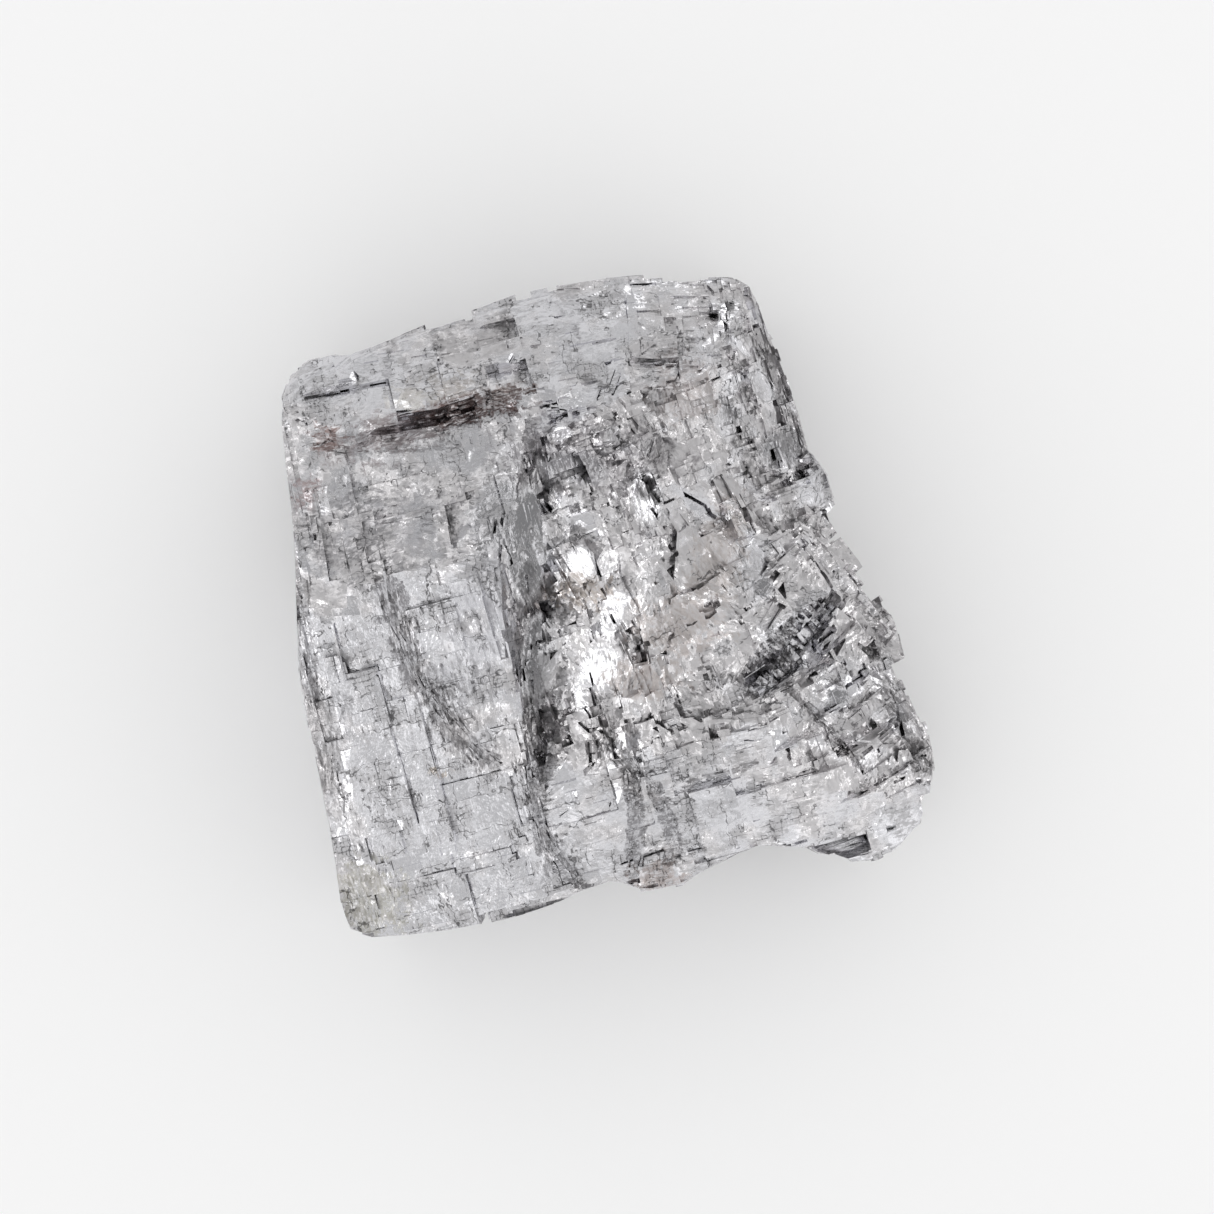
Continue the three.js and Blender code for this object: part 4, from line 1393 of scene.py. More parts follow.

# Dull and nearly black: painted shade in pits and on shaded steps, and smudges.
DARK_PATCHES: tuple[Patch, ...] = (
    Patch((15.2, -7.4, 26), (2.2, 0.8, 9), 0.7, 0.6),
    Patch((10.9, -7.7, 27), (3.5, 0.6, 9), 0.45, 0.6),
    Patch((-11.8, 20.0, 29), (3.2, 0.7, 8), 0.2, 0.6),
    Patch((17.6, 15.2, 23), (2.8, 1.9, 9), -0.3, 0.55),
    Patch((14.9, 12.4, 24), (0.6, 3.2, 9), 0.2, 0.5),
    Patch((15.2, 8.2, 27), (1.1, 0.8, 9), -0.2, 0.85),
    Patch((20.9, 7.4, 24), (0.6, 1.3, 9), 0.2, 0.85),
    Patch((15.9, 3.7, 27), (1.1, 0.9, 9), -0.2, 0.75),
    Patch((26.4, -4.6, 23), (0.9, 0.8, 9), -0.2, 0.8),
    Patch((26.6, -3.2, 23), (1.6, 1.4, 9), -0.2, 0.5),
    Patch((29.4, -10.4, 22), (1.3, 4.2, 9), -0.25, 0.6),
    Patch((30.6, -15.6, 22), (1.3, 1.2, 9), -0.2, 0.8),
    Patch((10.4, 28.6, 24), (0.7, 1.0, 9), -0.5, 0.9),
    Patch((8.4, 26.1, 25), (0.9, 0.9, 9), -0.7, 0.75),
    Patch((6.6, 24.3, 26), (1.5, 1.0, 9), -0.7, 0.5),
    Patch((5.1, 20.2, 28), (1.2, 1.3, 9), -0.2, 0.7),
    Patch((-1.0, 21.6, 28), (1.7, 0.5, 9), -0.5, 0.65),
    Patch((-4.9, -25.4, 26), (1.0, 2.9, 12), 0.45, 0.8),
    Patch((9.0, -23.9, 24), (0.9, 0.5, 12), -0.1, 0.9),
    Patch((2.2, -23.6, 24), (0.3, 0.6, 12), -0.1, 0.8),
    Patch((4.5, 14.0, 28), (1.2, 3.4, 7), -0.6, 0.5),
    Patch((-7.0, -11.6, 27), (0.9, 3.6, 8), -0.1, 0.6),
    Patch((-5.4, -24.4, 27), (0.6, 3.4, 8), -0.3, 0.6),
    Patch((-20.6, -1.9, 32), (0.9, 4.2, 6), 0.25, 0.55),
    Patch((-17.9, -6.7, 32), (2.8, 0.9, 6), -0.52, 0.5),
    Patch((-13.6, -8.6, 32), (2.6, 1.1, 6), -0.2, 0.3),
    Patch((-26.9, -12.8, 29), (1.5, 3.6, 9), 0.25, 0.38),
    Patch((-28.6, -19.4, 26), (1.1, 6.0, 9), 0.15, 0.3),
    Patch((-21.6, 24.2, 27), (0.6, 3.0, 9), -0.1, 0.45),
    Patch((-13.4, 26.6, 27), (3.6, 2.2, 9), -0.1, 0.22),
    Patch((-3.9, 30.4, 24), (1.7, 1.6, 9), -0.1, 0.35),
)


class Towards(Enum):
    """Where a cluster of facets faces: a bright lamp, the dim side or overhead."""

    LAMP = (-0.235, -0.156, 0.959)
    DIM = (0.43, 0.03, 0.9)
    OVERHEAD = (-0.02, -0.12, 0.99)


@dataclass(frozen=True)
class Facing(Patch):
    """A cluster of small facets that all face one way."""

    towards: Towards = Towards.LAMP


FACINGS: tuple[Facing, ...] = (
    Facing((3.7, 10.4, 29), (2.4, 4.6, 9), 0.1, 1.0),
    Facing((-2.8, 3.9, 28), (2.4, 2.8, 9), 0.0, 1.0),
    Facing((0.5, -0.8, 28), (1.7, 3.2, 9), -0.2, 1.0),
    Facing((-0.6, -6.4, 28), (3.2, 3.6, 9), -0.2, 1.0),
    Facing((-2.6, -9.6, 28), (1.0, 2.6, 9), 0.2, 0.9),
    Facing((5.0, -0.3, 28), (1.0, 1.6, 9), 0.0, 0.9),
    Facing((2.2, 0.6, 28), (0.8, 1.2, 9), 0.0, 0.9),
    Facing((11.0, 27.2, 24), (4.8, 0.9, 9), 0.88, 1.0),
    Facing((12.2, 29.4, 24), (2.2, 1.5, 9), 0.7, 1.0),
    Facing((9.0, 19.6, 26), (0.9, 1.4, 9), 0.5, 0.8),
    Facing((5.4, 17.4, 27), (0.8, 1.1, 9), 0.0, 0.8),
    Facing((17.6, 13.6, 24), (1.1, 0.6, 9), 0.3, 0.8),
    Facing((24.6, -6.6, 25), (0.9, 0.5, 9), 0.6, 0.8),
    Facing((17.4, -12.6, 27), (0.6, 1.3, 9), -0.5, 0.7),
    Facing((22.4, -15.0, 26), (1.3, 0.6, 9), -0.5, 0.8),
    Facing((13.2, 25.6, 24), (2.3, 0.6, 9), -0.86, 0.9),
    Facing((7.6, 22.2, 26), (2.2, 0.6, 9), 0.9, 0.8),
    Facing((22.0, 9.2, 22), (1.4, 1.6, 9), -0.5, 1.0),
    Facing((20.0, 10.8, 23), (1.3, 1.6, 9), -0.5, 0.9, Towards.OVERHEAD),
    Facing((19.8, -0.3, 26), (1.0, 0.8, 9), -0.5, 0.9),
    Facing((22.8, 3.2, 25), (0.9, 1.3, 9), -0.4, 0.9),
    Facing((19.6, -5.4, 27), (0.7, 1.5, 9), -0.1, 0.9),
    Facing((26.6, -11.2, 25), (1.1, 0.8, 9), -0.4, 0.9),
    Facing((24.8, -13.2, 27), (2.1, 0.7, 9), -0.3, 0.8),
    Facing((-20.6, 19.6, 29), (2.6, 0.8, 9), -0.1, 1.0),
    Facing((-25.0, 22.4, 28), (0.9, 1.0, 9), -0.1, 1.0),
    Facing((-9.0, 25.4, 28), (0.7, 0.35, 9), 0.3, 1.0),
    Facing((-12.2, 25.9, 28), (0.5, 0.4, 9), 0.5, 1.0),
    Facing((-5.2, 27.0, 27), (0.9, 0.3, 9), 0.4, 0.9),
    Facing((-2.0, 24.0, 28), (0.8, 0.3, 9), 0.4, 0.9),
    Facing((-24.2, 19.5, 28), (0.9, 0.4, 9), 0.2, 1.0),
    Facing((-13.2, 14.0, 31), (0.6, 1.6, 9), 0.4, 1.0),
    Facing((-4.6, 16.6, 29), (1.7, 1.3, 9), 0.0, 1.0),
    Facing((0.6, 16.6, 30), (1.0, 1.5, 9), 0.0, 1.0),
    Facing((12.6, 21.8, 25), (0.8, 1.8, 9), -0.4, 0.8),
    Facing((-25.4, 1.2, 32), (1.5, 0.7, 9), -0.2, 0.9),
    Facing((11.6, 17.8, 25), (1.6, 3.0, 9), 0.2, 0.75, Towards.OVERHEAD),
    Facing((15.4, 21.6, 23), (1.5, 2.6, 9), 0.4, 0.75, Towards.OVERHEAD),
    Facing((15.8, 27.4, 22), (0.5, 1.8, 9), 0.4, 0.9),
    Facing((18.6, 19.4, 22), (0.5, 1.4, 9), 0.4, 0.8),
    Facing((14.4, 4.2, 28), (1.6, 3.4, 9), 0.0, 0.7, Towards.OVERHEAD),
    Facing((29.0, -22.0, 22), (4.6, 3.6, 12), 0.0, 0.9, Towards.OVERHEAD),
    Facing((23.8, -24.0, 16), (3.6, 1.8, 12), 0.0, 0.9, Towards.OVERHEAD),
    Facing((18.0, -26.0, 22), (5.0, 2.4, 12), 0.0, 0.85, Towards.OVERHEAD),
    Facing((-7.6, 6.0, 29), (3.6, 9.0, 9), -0.12, 0.9, Towards.DIM),
    Facing((15.2, 1.6, 27), (1.8, 1.6, 9), 0.3, 0.8, Towards.DIM),
    Facing((9.6, 12.4, 28), (1.3, 2.6, 9), -0.4, 0.7, Towards.DIM),
    Facing((5.4, 2.6, 28), (1.5, 1.1, 9), 0.0, 0.7, Towards.DIM),
    Facing((22.4, -9.4, 27), (2.4, 1.5, 9), 0.4, 0.75, Towards.DIM),
    Facing((28.0, -6.2, 24), (1.1, 2.6, 9), 0.3, 0.8, Towards.DIM),
    Facing((11.4, -4.4, 27), (2.2, 1.3, 9), 0.3, 0.6, Towards.DIM),
    Facing((-11.2, 8.6, 30), (3.2, 7.0, 8), -0.2, 0.85, Towards.DIM),
    Facing((-12.4, -13.4, 31), (2.2, 2.0, 8), -0.3, 0.4, Towards.DIM),
    Facing((-6.6, -5.0, 29), (2.8, 8.4, 9), -0.12, 0.9, Towards.DIM),
    Facing((-3.6, 13.2, 28), (5.6, 2.8, 7), -0.1, 0.85, Towards.DIM),
    Facing((-9.8, 13.6, 30), (2.0, 3.6, 7), -0.3, 0.7, Towards.DIM),
    Facing((17.6, 15.2, 23), (4.0, 3.2, 9), 0.3, 0.8, Towards.DIM),
    Facing((27.6, -9.0, 23), (2.4, 5.0, 9), 0.3, 0.5, Towards.DIM),
)

# The ribbed split's own ground, which is smooth.
SPLIT = Patch((17.8, -3.9, 26), (6.8, 2.6, 9), 0.83, 1.0)


def calmness(points: Array) -> Array:
    """How far points lie inside clusters that face one way, or inside the ribbed split.

    Args:
        points: N by 3 places in millimetres.

    Returns:
        N shares between 0 and 1.
    """
    return np.max([patch.share(points) for patch in (*FACINGS, SPLIT)], axis=0)


# Furrows darken with painted shade only what lies above this height, and are cut in slots about this long,
# each of which strays a little and turns a little, in degrees. Their lines are dropped on the chunk from far
# above.
UPPER_HEIGHT = 12.0
FURROW_STEP = 1.4
FURROW_STRAY = 0.12
FURROW_TURN = 7.0
FAR_ABOVE = 60.0

# The least and largest shares of a slot's own half length, width and depth.
SLOT_LENGTHS = (0.4, 0.62)
SLOT_WIDTHS = (0.6, 1.5)
SLOT_DEPTHS = (0.7, 1.4)

# Half the width of the ridge along the middle of the ribbed split, and its furrows' width, depth,
# reach and strength.
RIB_GAP = 0.24
RIB_FURROW = (0.5, 1.1, 0.27, 0.95)

# How far a bundle's furrows stray, where their ends lie on the first and last stretch of its line,
# and their width, depth and reach.
BUNDLE_STRAY = 0.14
BUNDLE_ENDS = (-0.1, 0.3)
BUNDLE_FURROW = (0.12, 0.3, 0.28)


@dataclass(frozen=True)
class Furrow:
    """A narrow furrow along a line seen from above, in millimetres, and how far and dark the painted shade
    along it is.
    """

    line: tuple[Place, ...]
    width: float
    depth: float
    reach: float
    strength: float

    def distance(self, points: Array) -> Array:
        """How far points are from the furrow, 1 at the edge of its painted shade.

        Args:
            points: N by 3 places in millimetres.

        Returns:
            N values.
        """
        nearest = np.full(len(points), np.inf)
        for start, end in zip(np.array(self.line[:-1]), np.array(self.line[1:])):
            along = end - start
            offset = points[:, :2] - start
            share = np.clip(offset @ along / (along @ along), 0, 1)
            nearest = np.minimum(nearest, np.linalg.norm(offset - share[:, None] * along, axis=1))
        return np.where(points[:, 2] > UPPER_HEIGHT, nearest / self.reach, np.inf)

    def boxes(self, form: BroadForm, rng: np.random.Generator) -> tuple[Array, Array, Array]:
        """The short slots that make the furrow.

        Args:
            form: the broad form.
            rng: random numbers.

        Returns:
            Centres, half sizes and turns.
        """
        centres, halves, turns = [], [], []
        for start, end in zip(np.array(self.line[:-1]), np.array(self.line[1:])):
            length = np.linalg.norm(end - start)
            steps = max(1, round(length / FURROW_STEP))
            heading = math.degrees(math.atan2(end[1] - start[1], end[0] - start[0]))
            for i in range(steps):
                spot = start + (end - start) * (i + 0.5) / steps + rng.normal(0, FURROW_STRAY, 2)
                place, _, _, _ = form.tree.ray_cast(Vector((*spot, FAR_ABOVE)), Vector((0, 0, -1)))
                if place is None:
                    continue
                half_width = self.width * rng.uniform(*SLOT_WIDTHS) / 2
                half_length = length / steps * rng.uniform(*SLOT_LENGTHS)
                centres.append(np.array(place))
                halves.append((half_length, half_width, self.depth * rng.uniform(*SLOT_DEPTHS)))
                turns.append(turn_matrix((0, 0, heading + rng.normal(0, FURROW_TURN))))
        return np.array(centres), np.array(halves), np.array(turns)


def ribbed(start: Place, end: Place, widths: tuple[float, ...], count: int) -> tuple[Furrow, ...]:
    """Short furrows side by side across a line, which leave thin ribs and a ridge between them.

    Args:
        start: where the line starts, in millimetres.
        end: where it ends.
        widths: the furrows' lengths, evenly from its start to its end.
        count: how many furrows there are.

    Returns:
        The furrows.
    """
    along = np.subtract(end, start)
    across = np.array((-along[1], along[0])) / np.hypot(*along)
    made = []
    for share in (np.arange(count) + 0.5) / count:
        middle = np.array(start) + along * share
        half = np.interp(share, np.linspace(0, 1, len(widths)), widths) / 2
        for side in (-1, 1):
            inner, outer = middle + side * across * RIB_GAP, middle + side * across * half
            made.append(Furrow((tuple(inner), tuple(outer)), *RIB_FURROW))
    return tuple(made)


def bundle(line: tuple[Place, ...], spread: float, count: int, strength: float) -> tuple[Furrow, ...]:
    """Thin furrows that run together along a line.

    Args:
        line: the line's points in millimetres.
        spread: how far to its sides they lie.
        count: how many there are.
        strength: how dark they are.

    Returns:
        The furrows.
    """
    rng = np.random.default_rng(count)
    made = []
    for aside in np.linspace(-spread, spread, count):
        strayed = np.array(line) + (aside, 0) + rng.normal(0, BUNDLE_STRAY, (len(line), 2))
        first, last = strayed[0], strayed[-1]
        strayed[0] = first + (strayed[1] - first) * rng.uniform(*BUNDLE_ENDS)
        strayed[-1] = last + (strayed[-2] - last) * rng.uniform(*BUNDLE_ENDS)
        made.append(Furrow(tuple(map(tuple, strayed)), *BUNDLE_FURROW, strength))
    return tuple(made)


# The long step on the left block first, then the splits in the lower face, the brown crack, finer
# lines, and the bundles and ribs.
FURROWS: tuple[Furrow, ...] = (
    Furrow(
        ((-21.6, 1.8), (-19.9, -3.4), (-19.4, -5.6), (-16.4, -9.5), (-14.7, -13.0), (-11.6, -15.6)),
        0.32, 0.5, 1.5, 0.85,
    ),
    Furrow(((-18.3, -4.8), (-15.6, -8.6), (-13.0, -11.2)), 0.12, 0.3, 0.5, 0.5),
    Furrow(((-7.7, -16.1), (-7.0, -21.1), (-5.6, -23.8), (-2.5, -28.0)), 0.4, 0.6, 0.8, 0.8),
    Furrow(((-0.5, -11.9), (2.6, -16.7), (3.0, -21.9), (2.6, -28.0)), 0.24, 0.5, 0.5, 0.6),
    Furrow(((3.5, -16.3), (6.1, -21.9), (6.5, -25.4)), 0.24, 0.5, 0.5, 0.6),
    Furrow(((16.1, -6.3), (19.2, -9.6), (25.6, -16.7)), 0.2, 0.4, 0.45, 0.9),
    Furrow(((-21.2, 16.3), (-16.8, 17.2), (-13.8, 18.6), (-9.1, 20.0)), 0.5, 0.5, 1.2, 0.6),
    Furrow(((-28.4, 16.0), (-24.6, 16.4), (-21.2, 16.3)), 0.2, 0.3, 0.8, 0.4),
    Furrow(((-28.2, 14.8), (-23.4, 15.0), (-14.6, 15.6)), 0.12, 0.25, 0.35, 0.5),
    Furrow(((-17.4, 28.6), (-17.0, 25.9), (-16.6, 23.4)), 0.12, 0.25, 0.4, 0.6),
    Furrow(((-10.4, 29.6), (-9.8, 25.2)), 0.1, 0.25, 0.3, 0.5),
    Furrow(((-3.2, 27.8), (-3.0, 25.8)), 0.1, 0.25, 0.3, 0.5),
    Furrow(((-8.2, 3.0), (-7.7, -4.6), (-7.3, -14.1)), 0.35, 0.5, 0.9, 0.6),
    Furrow(((11.6, 20.4), (13.2, 15.4), (14.4, 11.3)), 0.25, 0.5, 0.5, 0.5),
    Furrow(((27.7, -8.6), (29.5, -13.1), (32.0, -16.1)), 0.3, 0.5, 0.9, 0.75),
    Furrow(((7.4, -17.8), (11.9, -16.6), (16.1, -15.0)), 0.12, 0.3, 0.35, 0.6),
    Furrow(((-25.6, -10.1), (-26.8, -13.1), (-27.4, -17.4)), 0.15, 0.3, 0.9, 0.35),
    Furrow(((-30.8, 4.4), (-30.4, -3.6), (-29.0, -11.1)), 0.12, 0.3, 0.6, 0.3),
    *bundle(((-21.4, 0.6), (-19.8, -3.8), (-17.4, -8.2), (-14.4, -12.6), (-11.4, -15.4)), 0.9, 4, 0.7),
    *bundle(((-7.7, -16.1), (-7.0, -21.1), (-5.6, -24.4)), 0.8, 4, 0.7),
    *bundle(((-0.5, -12.9), (2.4, -16.7), (2.8, -21.9), (2.6, -27.0)), 0.8, 5, 0.8),
    *bundle(((3.9, -16.9), (6.1, -21.9), (6.5, -25.4)), 0.6, 4, 0.8),
    *bundle(((13.8, 30.0), (16.4, 23.4), (19.4, 16.3)), 0.7, 5, 0.4),
    *bundle(((-30.4, 3.0), (-30.0, -5.0), (-28.4, -12.0), (-26.8, -20.0)), 0.9, 4, 0.5),
    *ribbed((22.1, 0.7), (13.5, -8.6), (1.0, 2.6, 3.4, 3.9, 2.4), 16),
)

# Where the surface is more finely broken up than its domain is, or with a negative strength smoother.
GRADES: tuple[Patch, ...] = (
    Patch((-26.0, 22.0, 27), (5.0, 2.4, 9), 0.1, -0.3),
    Patch((-14.4, 27.0, 27), (4.6, 2.8, 9), 0.0, 0.4),
    Patch((-1.0, 28.4, 25), (7.0, 3.0, 9), 0.0, -0.4),
    Patch((-13.4, 15.0, 31), (4.0, 1.8, 9), 0.2, -0.5),
    Patch((-25.0, 6.8, 31), (4.0, 2.6, 9), 0.2, 0.25),
    Patch((-26.0, 0.4, 32), (3.6, 2.0, 9), 0.2, 0.6),
    Patch((-28.4, -15.0, 28), (1.6, 9.0, 9), 0.15, 0.6),
    Patch((-16.2, -19.0, 31), (6.6, 5.6, 9), 0.0, -0.5),
    Patch((-12.4, -14.6, 31), (4.0, 4.6, 9), -0.3, 0.5),
    Patch((-25.6, -29.0, 28), (3.4, 4.0, 9), 0.0, 0.5),
    Patch((14.4, 4.2, 28), (1.6, 3.4, 9), 0.0, -0.9),
    Patch((20.9, 11.9, 23), (1.7, 2.0, 9), -0.3, -0.9),
    Patch((8.8, 10.0, 29), (2.6, 1.0, 9), -0.5, -0.8),
    Patch((22.6, -8.4, 27), (2.6, 2.6, 9), -0.5, -0.6),
    Patch((11.0, -20.0, 29), (5.0, 2.4, 9), 0.3, -0.4),
    Patch((17.8, -3.9, 26), (6.0, 2.4, 9), 0.83, -0.9),
    Patch((20.0, -18.0, 28), (4.6, 3.0, 9), 0.3, 0.3),
)


# Between which depths inside a mark its mask sets in, and how far the mark's edge strays by a cloud
# and by the blocks of the middle facets. Clusters of facets stray less.
MARK_EDGE = (-0.12, 0.18)
CLOUD_STRAY = 2.6
BLOCK_STRAY = 0.8
CLUSTER_STRAY = 0.6

# What bends the surface and marks' edges, what the broken and crazed places drift by, the specks
# along the grain with how they are stretched, and the finest bumps.
CLOUD_NOISE = Noise(0.8, 4, 0.68)
DRIFT_NOISE = Noise(0.3, 3, 0.62)
SPECK_NOISE = Noise(2.0, 5, 0.72)
SPECK_STRETCH = (0.5, 1.4, 1.4)
GRAIN_NOISE = Noise(3.0, 1, 0.6)

# How far the drift makes the surface more or less broken, the range over which that shows, and how
# much a cluster of facets takes away.
BROKEN_DRIFT = 3.0
BROKEN_RANGE = (0.05, 0.95)
CLUSTER_CALM = 0.85

# Tarnish: the levels of specks between which it sets in, how strong it is where the surface is smooth
# and where it is broken, the facets' shades between which it sets in, and at what strength it is
# fully matt.
TARNISH_RANGE = (0.53, 0.36)
TARNISH_STRENGTH = (0.6, 0.75)
TARNISH_SHADES = (0.4, 0.24)
TARNISH_MATT = 0.8

# How much of the hairlines shows outside a cluster of facets and inside it, and how much the level of
# crazing shifts where the surface is broken. Then, for coarse and for close hairlines, between which
# two levels their share goes, and from what to what.
LINES_KEPT = (0.85, 0.2)
CRAZED_SHIFT = 0.12
COARSE_SHARE = (0.66, 0.4, 0.34, 0.8)
CLOSE_SHARE = (0.58, 0.36, 0.05, 0.85)

# Between which two levels of specks the strength of stains, of tints of painted shade and light, and of
# painted shade and smudges goes, and from what to what.
STAIN_SPECKS = (0.6, 0.44, 0.3, 1.0)

# The ragged facets' three sizes, as how many there are along a millimetre, and how ragged each is.
FACET_SIZES = ((0.36, 4.2), (1.1, 2.0), (3.2, 0.9))
FACET_STRETCH = (0.6, 1.1, 1.1)

# How far each size of facet is tilted where the surface is smooth and where it is broken.
FACET_TILTS = ((0.06, 0.34), (0.03, 0.3), (0.03, 0.24))

# How dull the dullest facets of the two larger sizes are.
FACET_DULLING = (0.6, 0.6)

# The shade above which one of the middle facets faces the lamp.
GLINT_ABOVE = 0.9


@dataclass(frozen=True)
class Hairlines:
    """One family of hairlines that run along one of a face's two directions, in millimetres.

    Close ones fill the crazed places, and the others lie all over. Apart sets a family's noise apart.
    """

    along: int
    spacing: float
    length: float
    width: float
    close: bool
    apart: float


HAIRLINES: tuple[Hairlines, ...] = (
    Hairlines(0, 2.3, 3.6, 0.1, False, 0.0),
    Hairlines(1, 2.0, 3.0, 0.1, False, 3.7),
    Hairlines(0, 0.6, 1.3, 0.05, True, 7.1),
    Hairlines(1, 0.55, 1.0, 0.045, True, 9.9),
)


@dataclass
class Surface:
    """The sockets that the finish's parts share while its material is built."""

    sketch: NodeSketch
    place: bpy.types.NodeSocket
    grain: bpy.types.NodeSocket
    warp: bpy.types.NodeSocket
    rag: bpy.types.NodeSocket | None = None
    broken: bpy.types.NodeSocket | None = None
    clusters: bpy.types.NodeSocket | None = None
    specks: bpy.types.NodeSocket | None = None

    def mask(self, mark: str, ragged: float = 1.0) -> bpy.types.NodeSocket:
        """Masks one kind of mark, from what the mesh holds on it.

        Args:
            mark: the attribute that holds it.
            ragged: how far its edge strays.

        Returns:
            The mask, as strong as the mark is.
        """
        held = self.sketch.add("ShaderNodeSeparateXYZ", Vector=self.sketch.attribute(mark)).outputs
        inside = self.sketch.math("SUBTRACT", held[0], self.sketch.math("MULTIPLY", self.rag, ragged))
        return self.sketch.ramp(inside, *MARK_EDGE, 0.0, held[1])


@dataclass(frozen=True)
class GalenaFinish:
    """Fresh to slightly dulled lead-grey metal, crazed along its cleavage.

    Bright and matt are the roughness of fresh and of tarnished metal, and cracks add theirs. Crumple
    is how far the surface is bent where it is smooth and where it is broken. The fine grain has a
    strength and a height in millimetres.
    """

    smooth_metal: Colour = (0.65, 0.648, 0.672, 1)
    broken_metal: Colour = (0.74, 0.722, 0.731, 1)
    dull: Colour = (0.36, 0.352, 0.358, 1)
    crack: Colour = (0.15, 0.147, 0.151, 1)
    # Painted shade of pits, steps and furrows, with smudges, multiplied over the metal.
    shade_and_smudge: Colour = (0.26, 0.252, 0.256, 1)
    bright: float = 0.12
    matt: float = 0.45
    crack_matt: float = 0.3
    crumple: tuple[float, float] = (0.16, 0.5)
    grain_bump: float = 0.35
    grain_height: float = 0.05

    def material(self) -> bpy.types.Material:
        """Builds the material.

        Returns:
            The material, which reads all the attributes that the mesh's corners hold.
        """
        made = bpy.data.materials.new("galena_cleaved")
        made.use_nodes = True
        made.node_tree.nodes.clear()
        sketch = NodeSketch(made.node_tree)
        place = sketch.vector("SCALE", sketch.add("ShaderNodeTexCoord").outputs["Object"], 1 / MM)
        grain = sketch.attribute("grain")
        cloud = sketch.noise(grain, CLOUD_NOISE).outputs["Color"]
        surface = Surface(sketch, place, grain, sketch.vector("SUBTRACT", cloud, (0.5, 0.5, 0.5)))
        cells = self._cells(surface)
        surface.rag = self._rag(surface, cells[1].outputs["Shade"])
        turned = surface.mask("facing", CLUSTER_STRAY)
        self._grade(surface, turned)
        colour, roughness = self._mottled(surface, cells)
        lines = sketch.math("MULTIPLY", self._hairlines(surface), sketch.ramp(turned, 0.0, 1.0, *LINES_KEPT))
        colour = sketch.mix(lines, colour, self.crack)
        roughness = sketch.math("ADD", roughness, sketch.math("MULTIPLY", lines, self.crack_matt))
        colour, roughness = self._stained_and_shaded(surface, colour, roughness)
        normal = self._tilted(surface, turned, cells)
        shader = sketch.add("ShaderNodeBsdfPrincipled", Metallic=1.0)
        for name, value in (("Base Color", colour), ("Roughness", roughness), ("Normal", normal)):
            sketch.feed(shader, name, value)
        output = sketch.add("ShaderNodeOutputMaterial")
        made.node_tree.links.new(shader.outputs[0], output.inputs[0])
        return made

    def _cells(self, surface: Surface) -> tuple[bpy.types.Node, ...]:
        """Adds three sizes of ragged facets along the grain.

        Args:
            surface: the shared sockets.

        Returns:
            The three nodes, the largest facets first.
        """
        facets = facet_group()
        return tuple(
            facets.use(
                surface.sketch, Grain=surface.grain, Warp=surface.warp, Rag=rag, Fineness=fineness,
                Stretch=FACET_STRETCH,
            )
            for fineness, rag in FACET_SIZES
        )

    def _rag(self, surface: Surface, shade: bpy.types.NodeSocket) -> bpy.types.NodeSocket:
        """Works out how far marks' edges stray: cloudy, and blocky along the facets.

        Args:
            surface: the shared sockets.
            shade: the middle facets' shade.

        Returns:
            How far they stray.
        """
        sketch = surface.sketch
        cloud = sketch.add("ShaderNodeSeparateXYZ", Vector=surface.warp).outputs[0]
        blocky = sketch.math("MULTIPLY", sketch.math("SUBTRACT", shade, 0.5), BLOCK_STRAY)
        return sketch.math("ADD", sketch.math("MULTIPLY", cloud, CLOUD_STRAY), blocky)

    def _grade(self, surface: Surface, turned: bpy.types.NodeSocket) -> None:
        """Works out how finely the surface is broken up, and where tarnish and cracks cluster.

        Args:
            surface: the shared sockets, which get these.
            turned: the mask of the clusters that face one way.
        """
        sketch = surface.sketch
        cloud = sketch.noise(surface.place, DRIFT_NOISE).outputs["Color"]
        drift = sketch.add("ShaderNodeSeparateColor", Color=cloud).outputs
        uneven = sketch.math("MULTIPLY", sketch.math("SUBTRACT", drift[0], 0.5), BROKEN_DRIFT)
        total = sketch.ramp(sketch.math("ADD", sketch.attribute("broken", "Fac"), uneven), *BROKEN_RANGE)
        calm = sketch.math("SUBTRACT", 1.0, sketch.math("MULTIPLY", turned, CLUSTER_CALM))
        surface.broken = sketch.math("MULTIPLY", total, calm)
        surface.clusters = drift[1]
        along = sketch.vector("MULTIPLY", surface.grain, SPECK_STRETCH)
        surface.specks = sketch.noise(along, SPECK_NOISE).outputs[0]

    def _mottled(
        self, surface: Surface, cells: tuple[bpy.types.Node, ...]
    ) -> tuple[bpy.types.NodeSocket, bpy.types.NodeSocket]:
        """Mottles the metal with streaky tarnish, in clusters and on some facets.

        Args:
            surface: the shared sockets.
            cells: the facets' nodes.

        Returns:
            The metal's colour and its roughness.
        """
        sketch = surface.sketch
        level = sketch.math("ADD", surface.specks, sketch.math("SUBTRACT", surface.clusters, 0.5))
        strength = sketch.ramp(surface.broken, 0.0, 1.0, *TARNISH_STRENGTH)
        dark = sketch.math("MULTIPLY", sketch.ramp(level, *TARNISH_RANGE), strength)
        for cell, most in zip(cells, FACET_DULLING):
            dulled = sketch.ramp(cell.outputs["Shade"], *TARNISH_SHADES, 0.0, most)
            dark = sketch.math("MAXIMUM", dark, sketch.math("MULTIPLY", dulled, surface.broken))
        metal = sketch.mix(surface.broken, self.smooth_metal, self.broken_metal)
        colour = sketch.mix(dark, metal, self.dull)
        return colour, sketch.ramp(dark, 0.0, TARNISH_MATT, self.bright, self.matt)

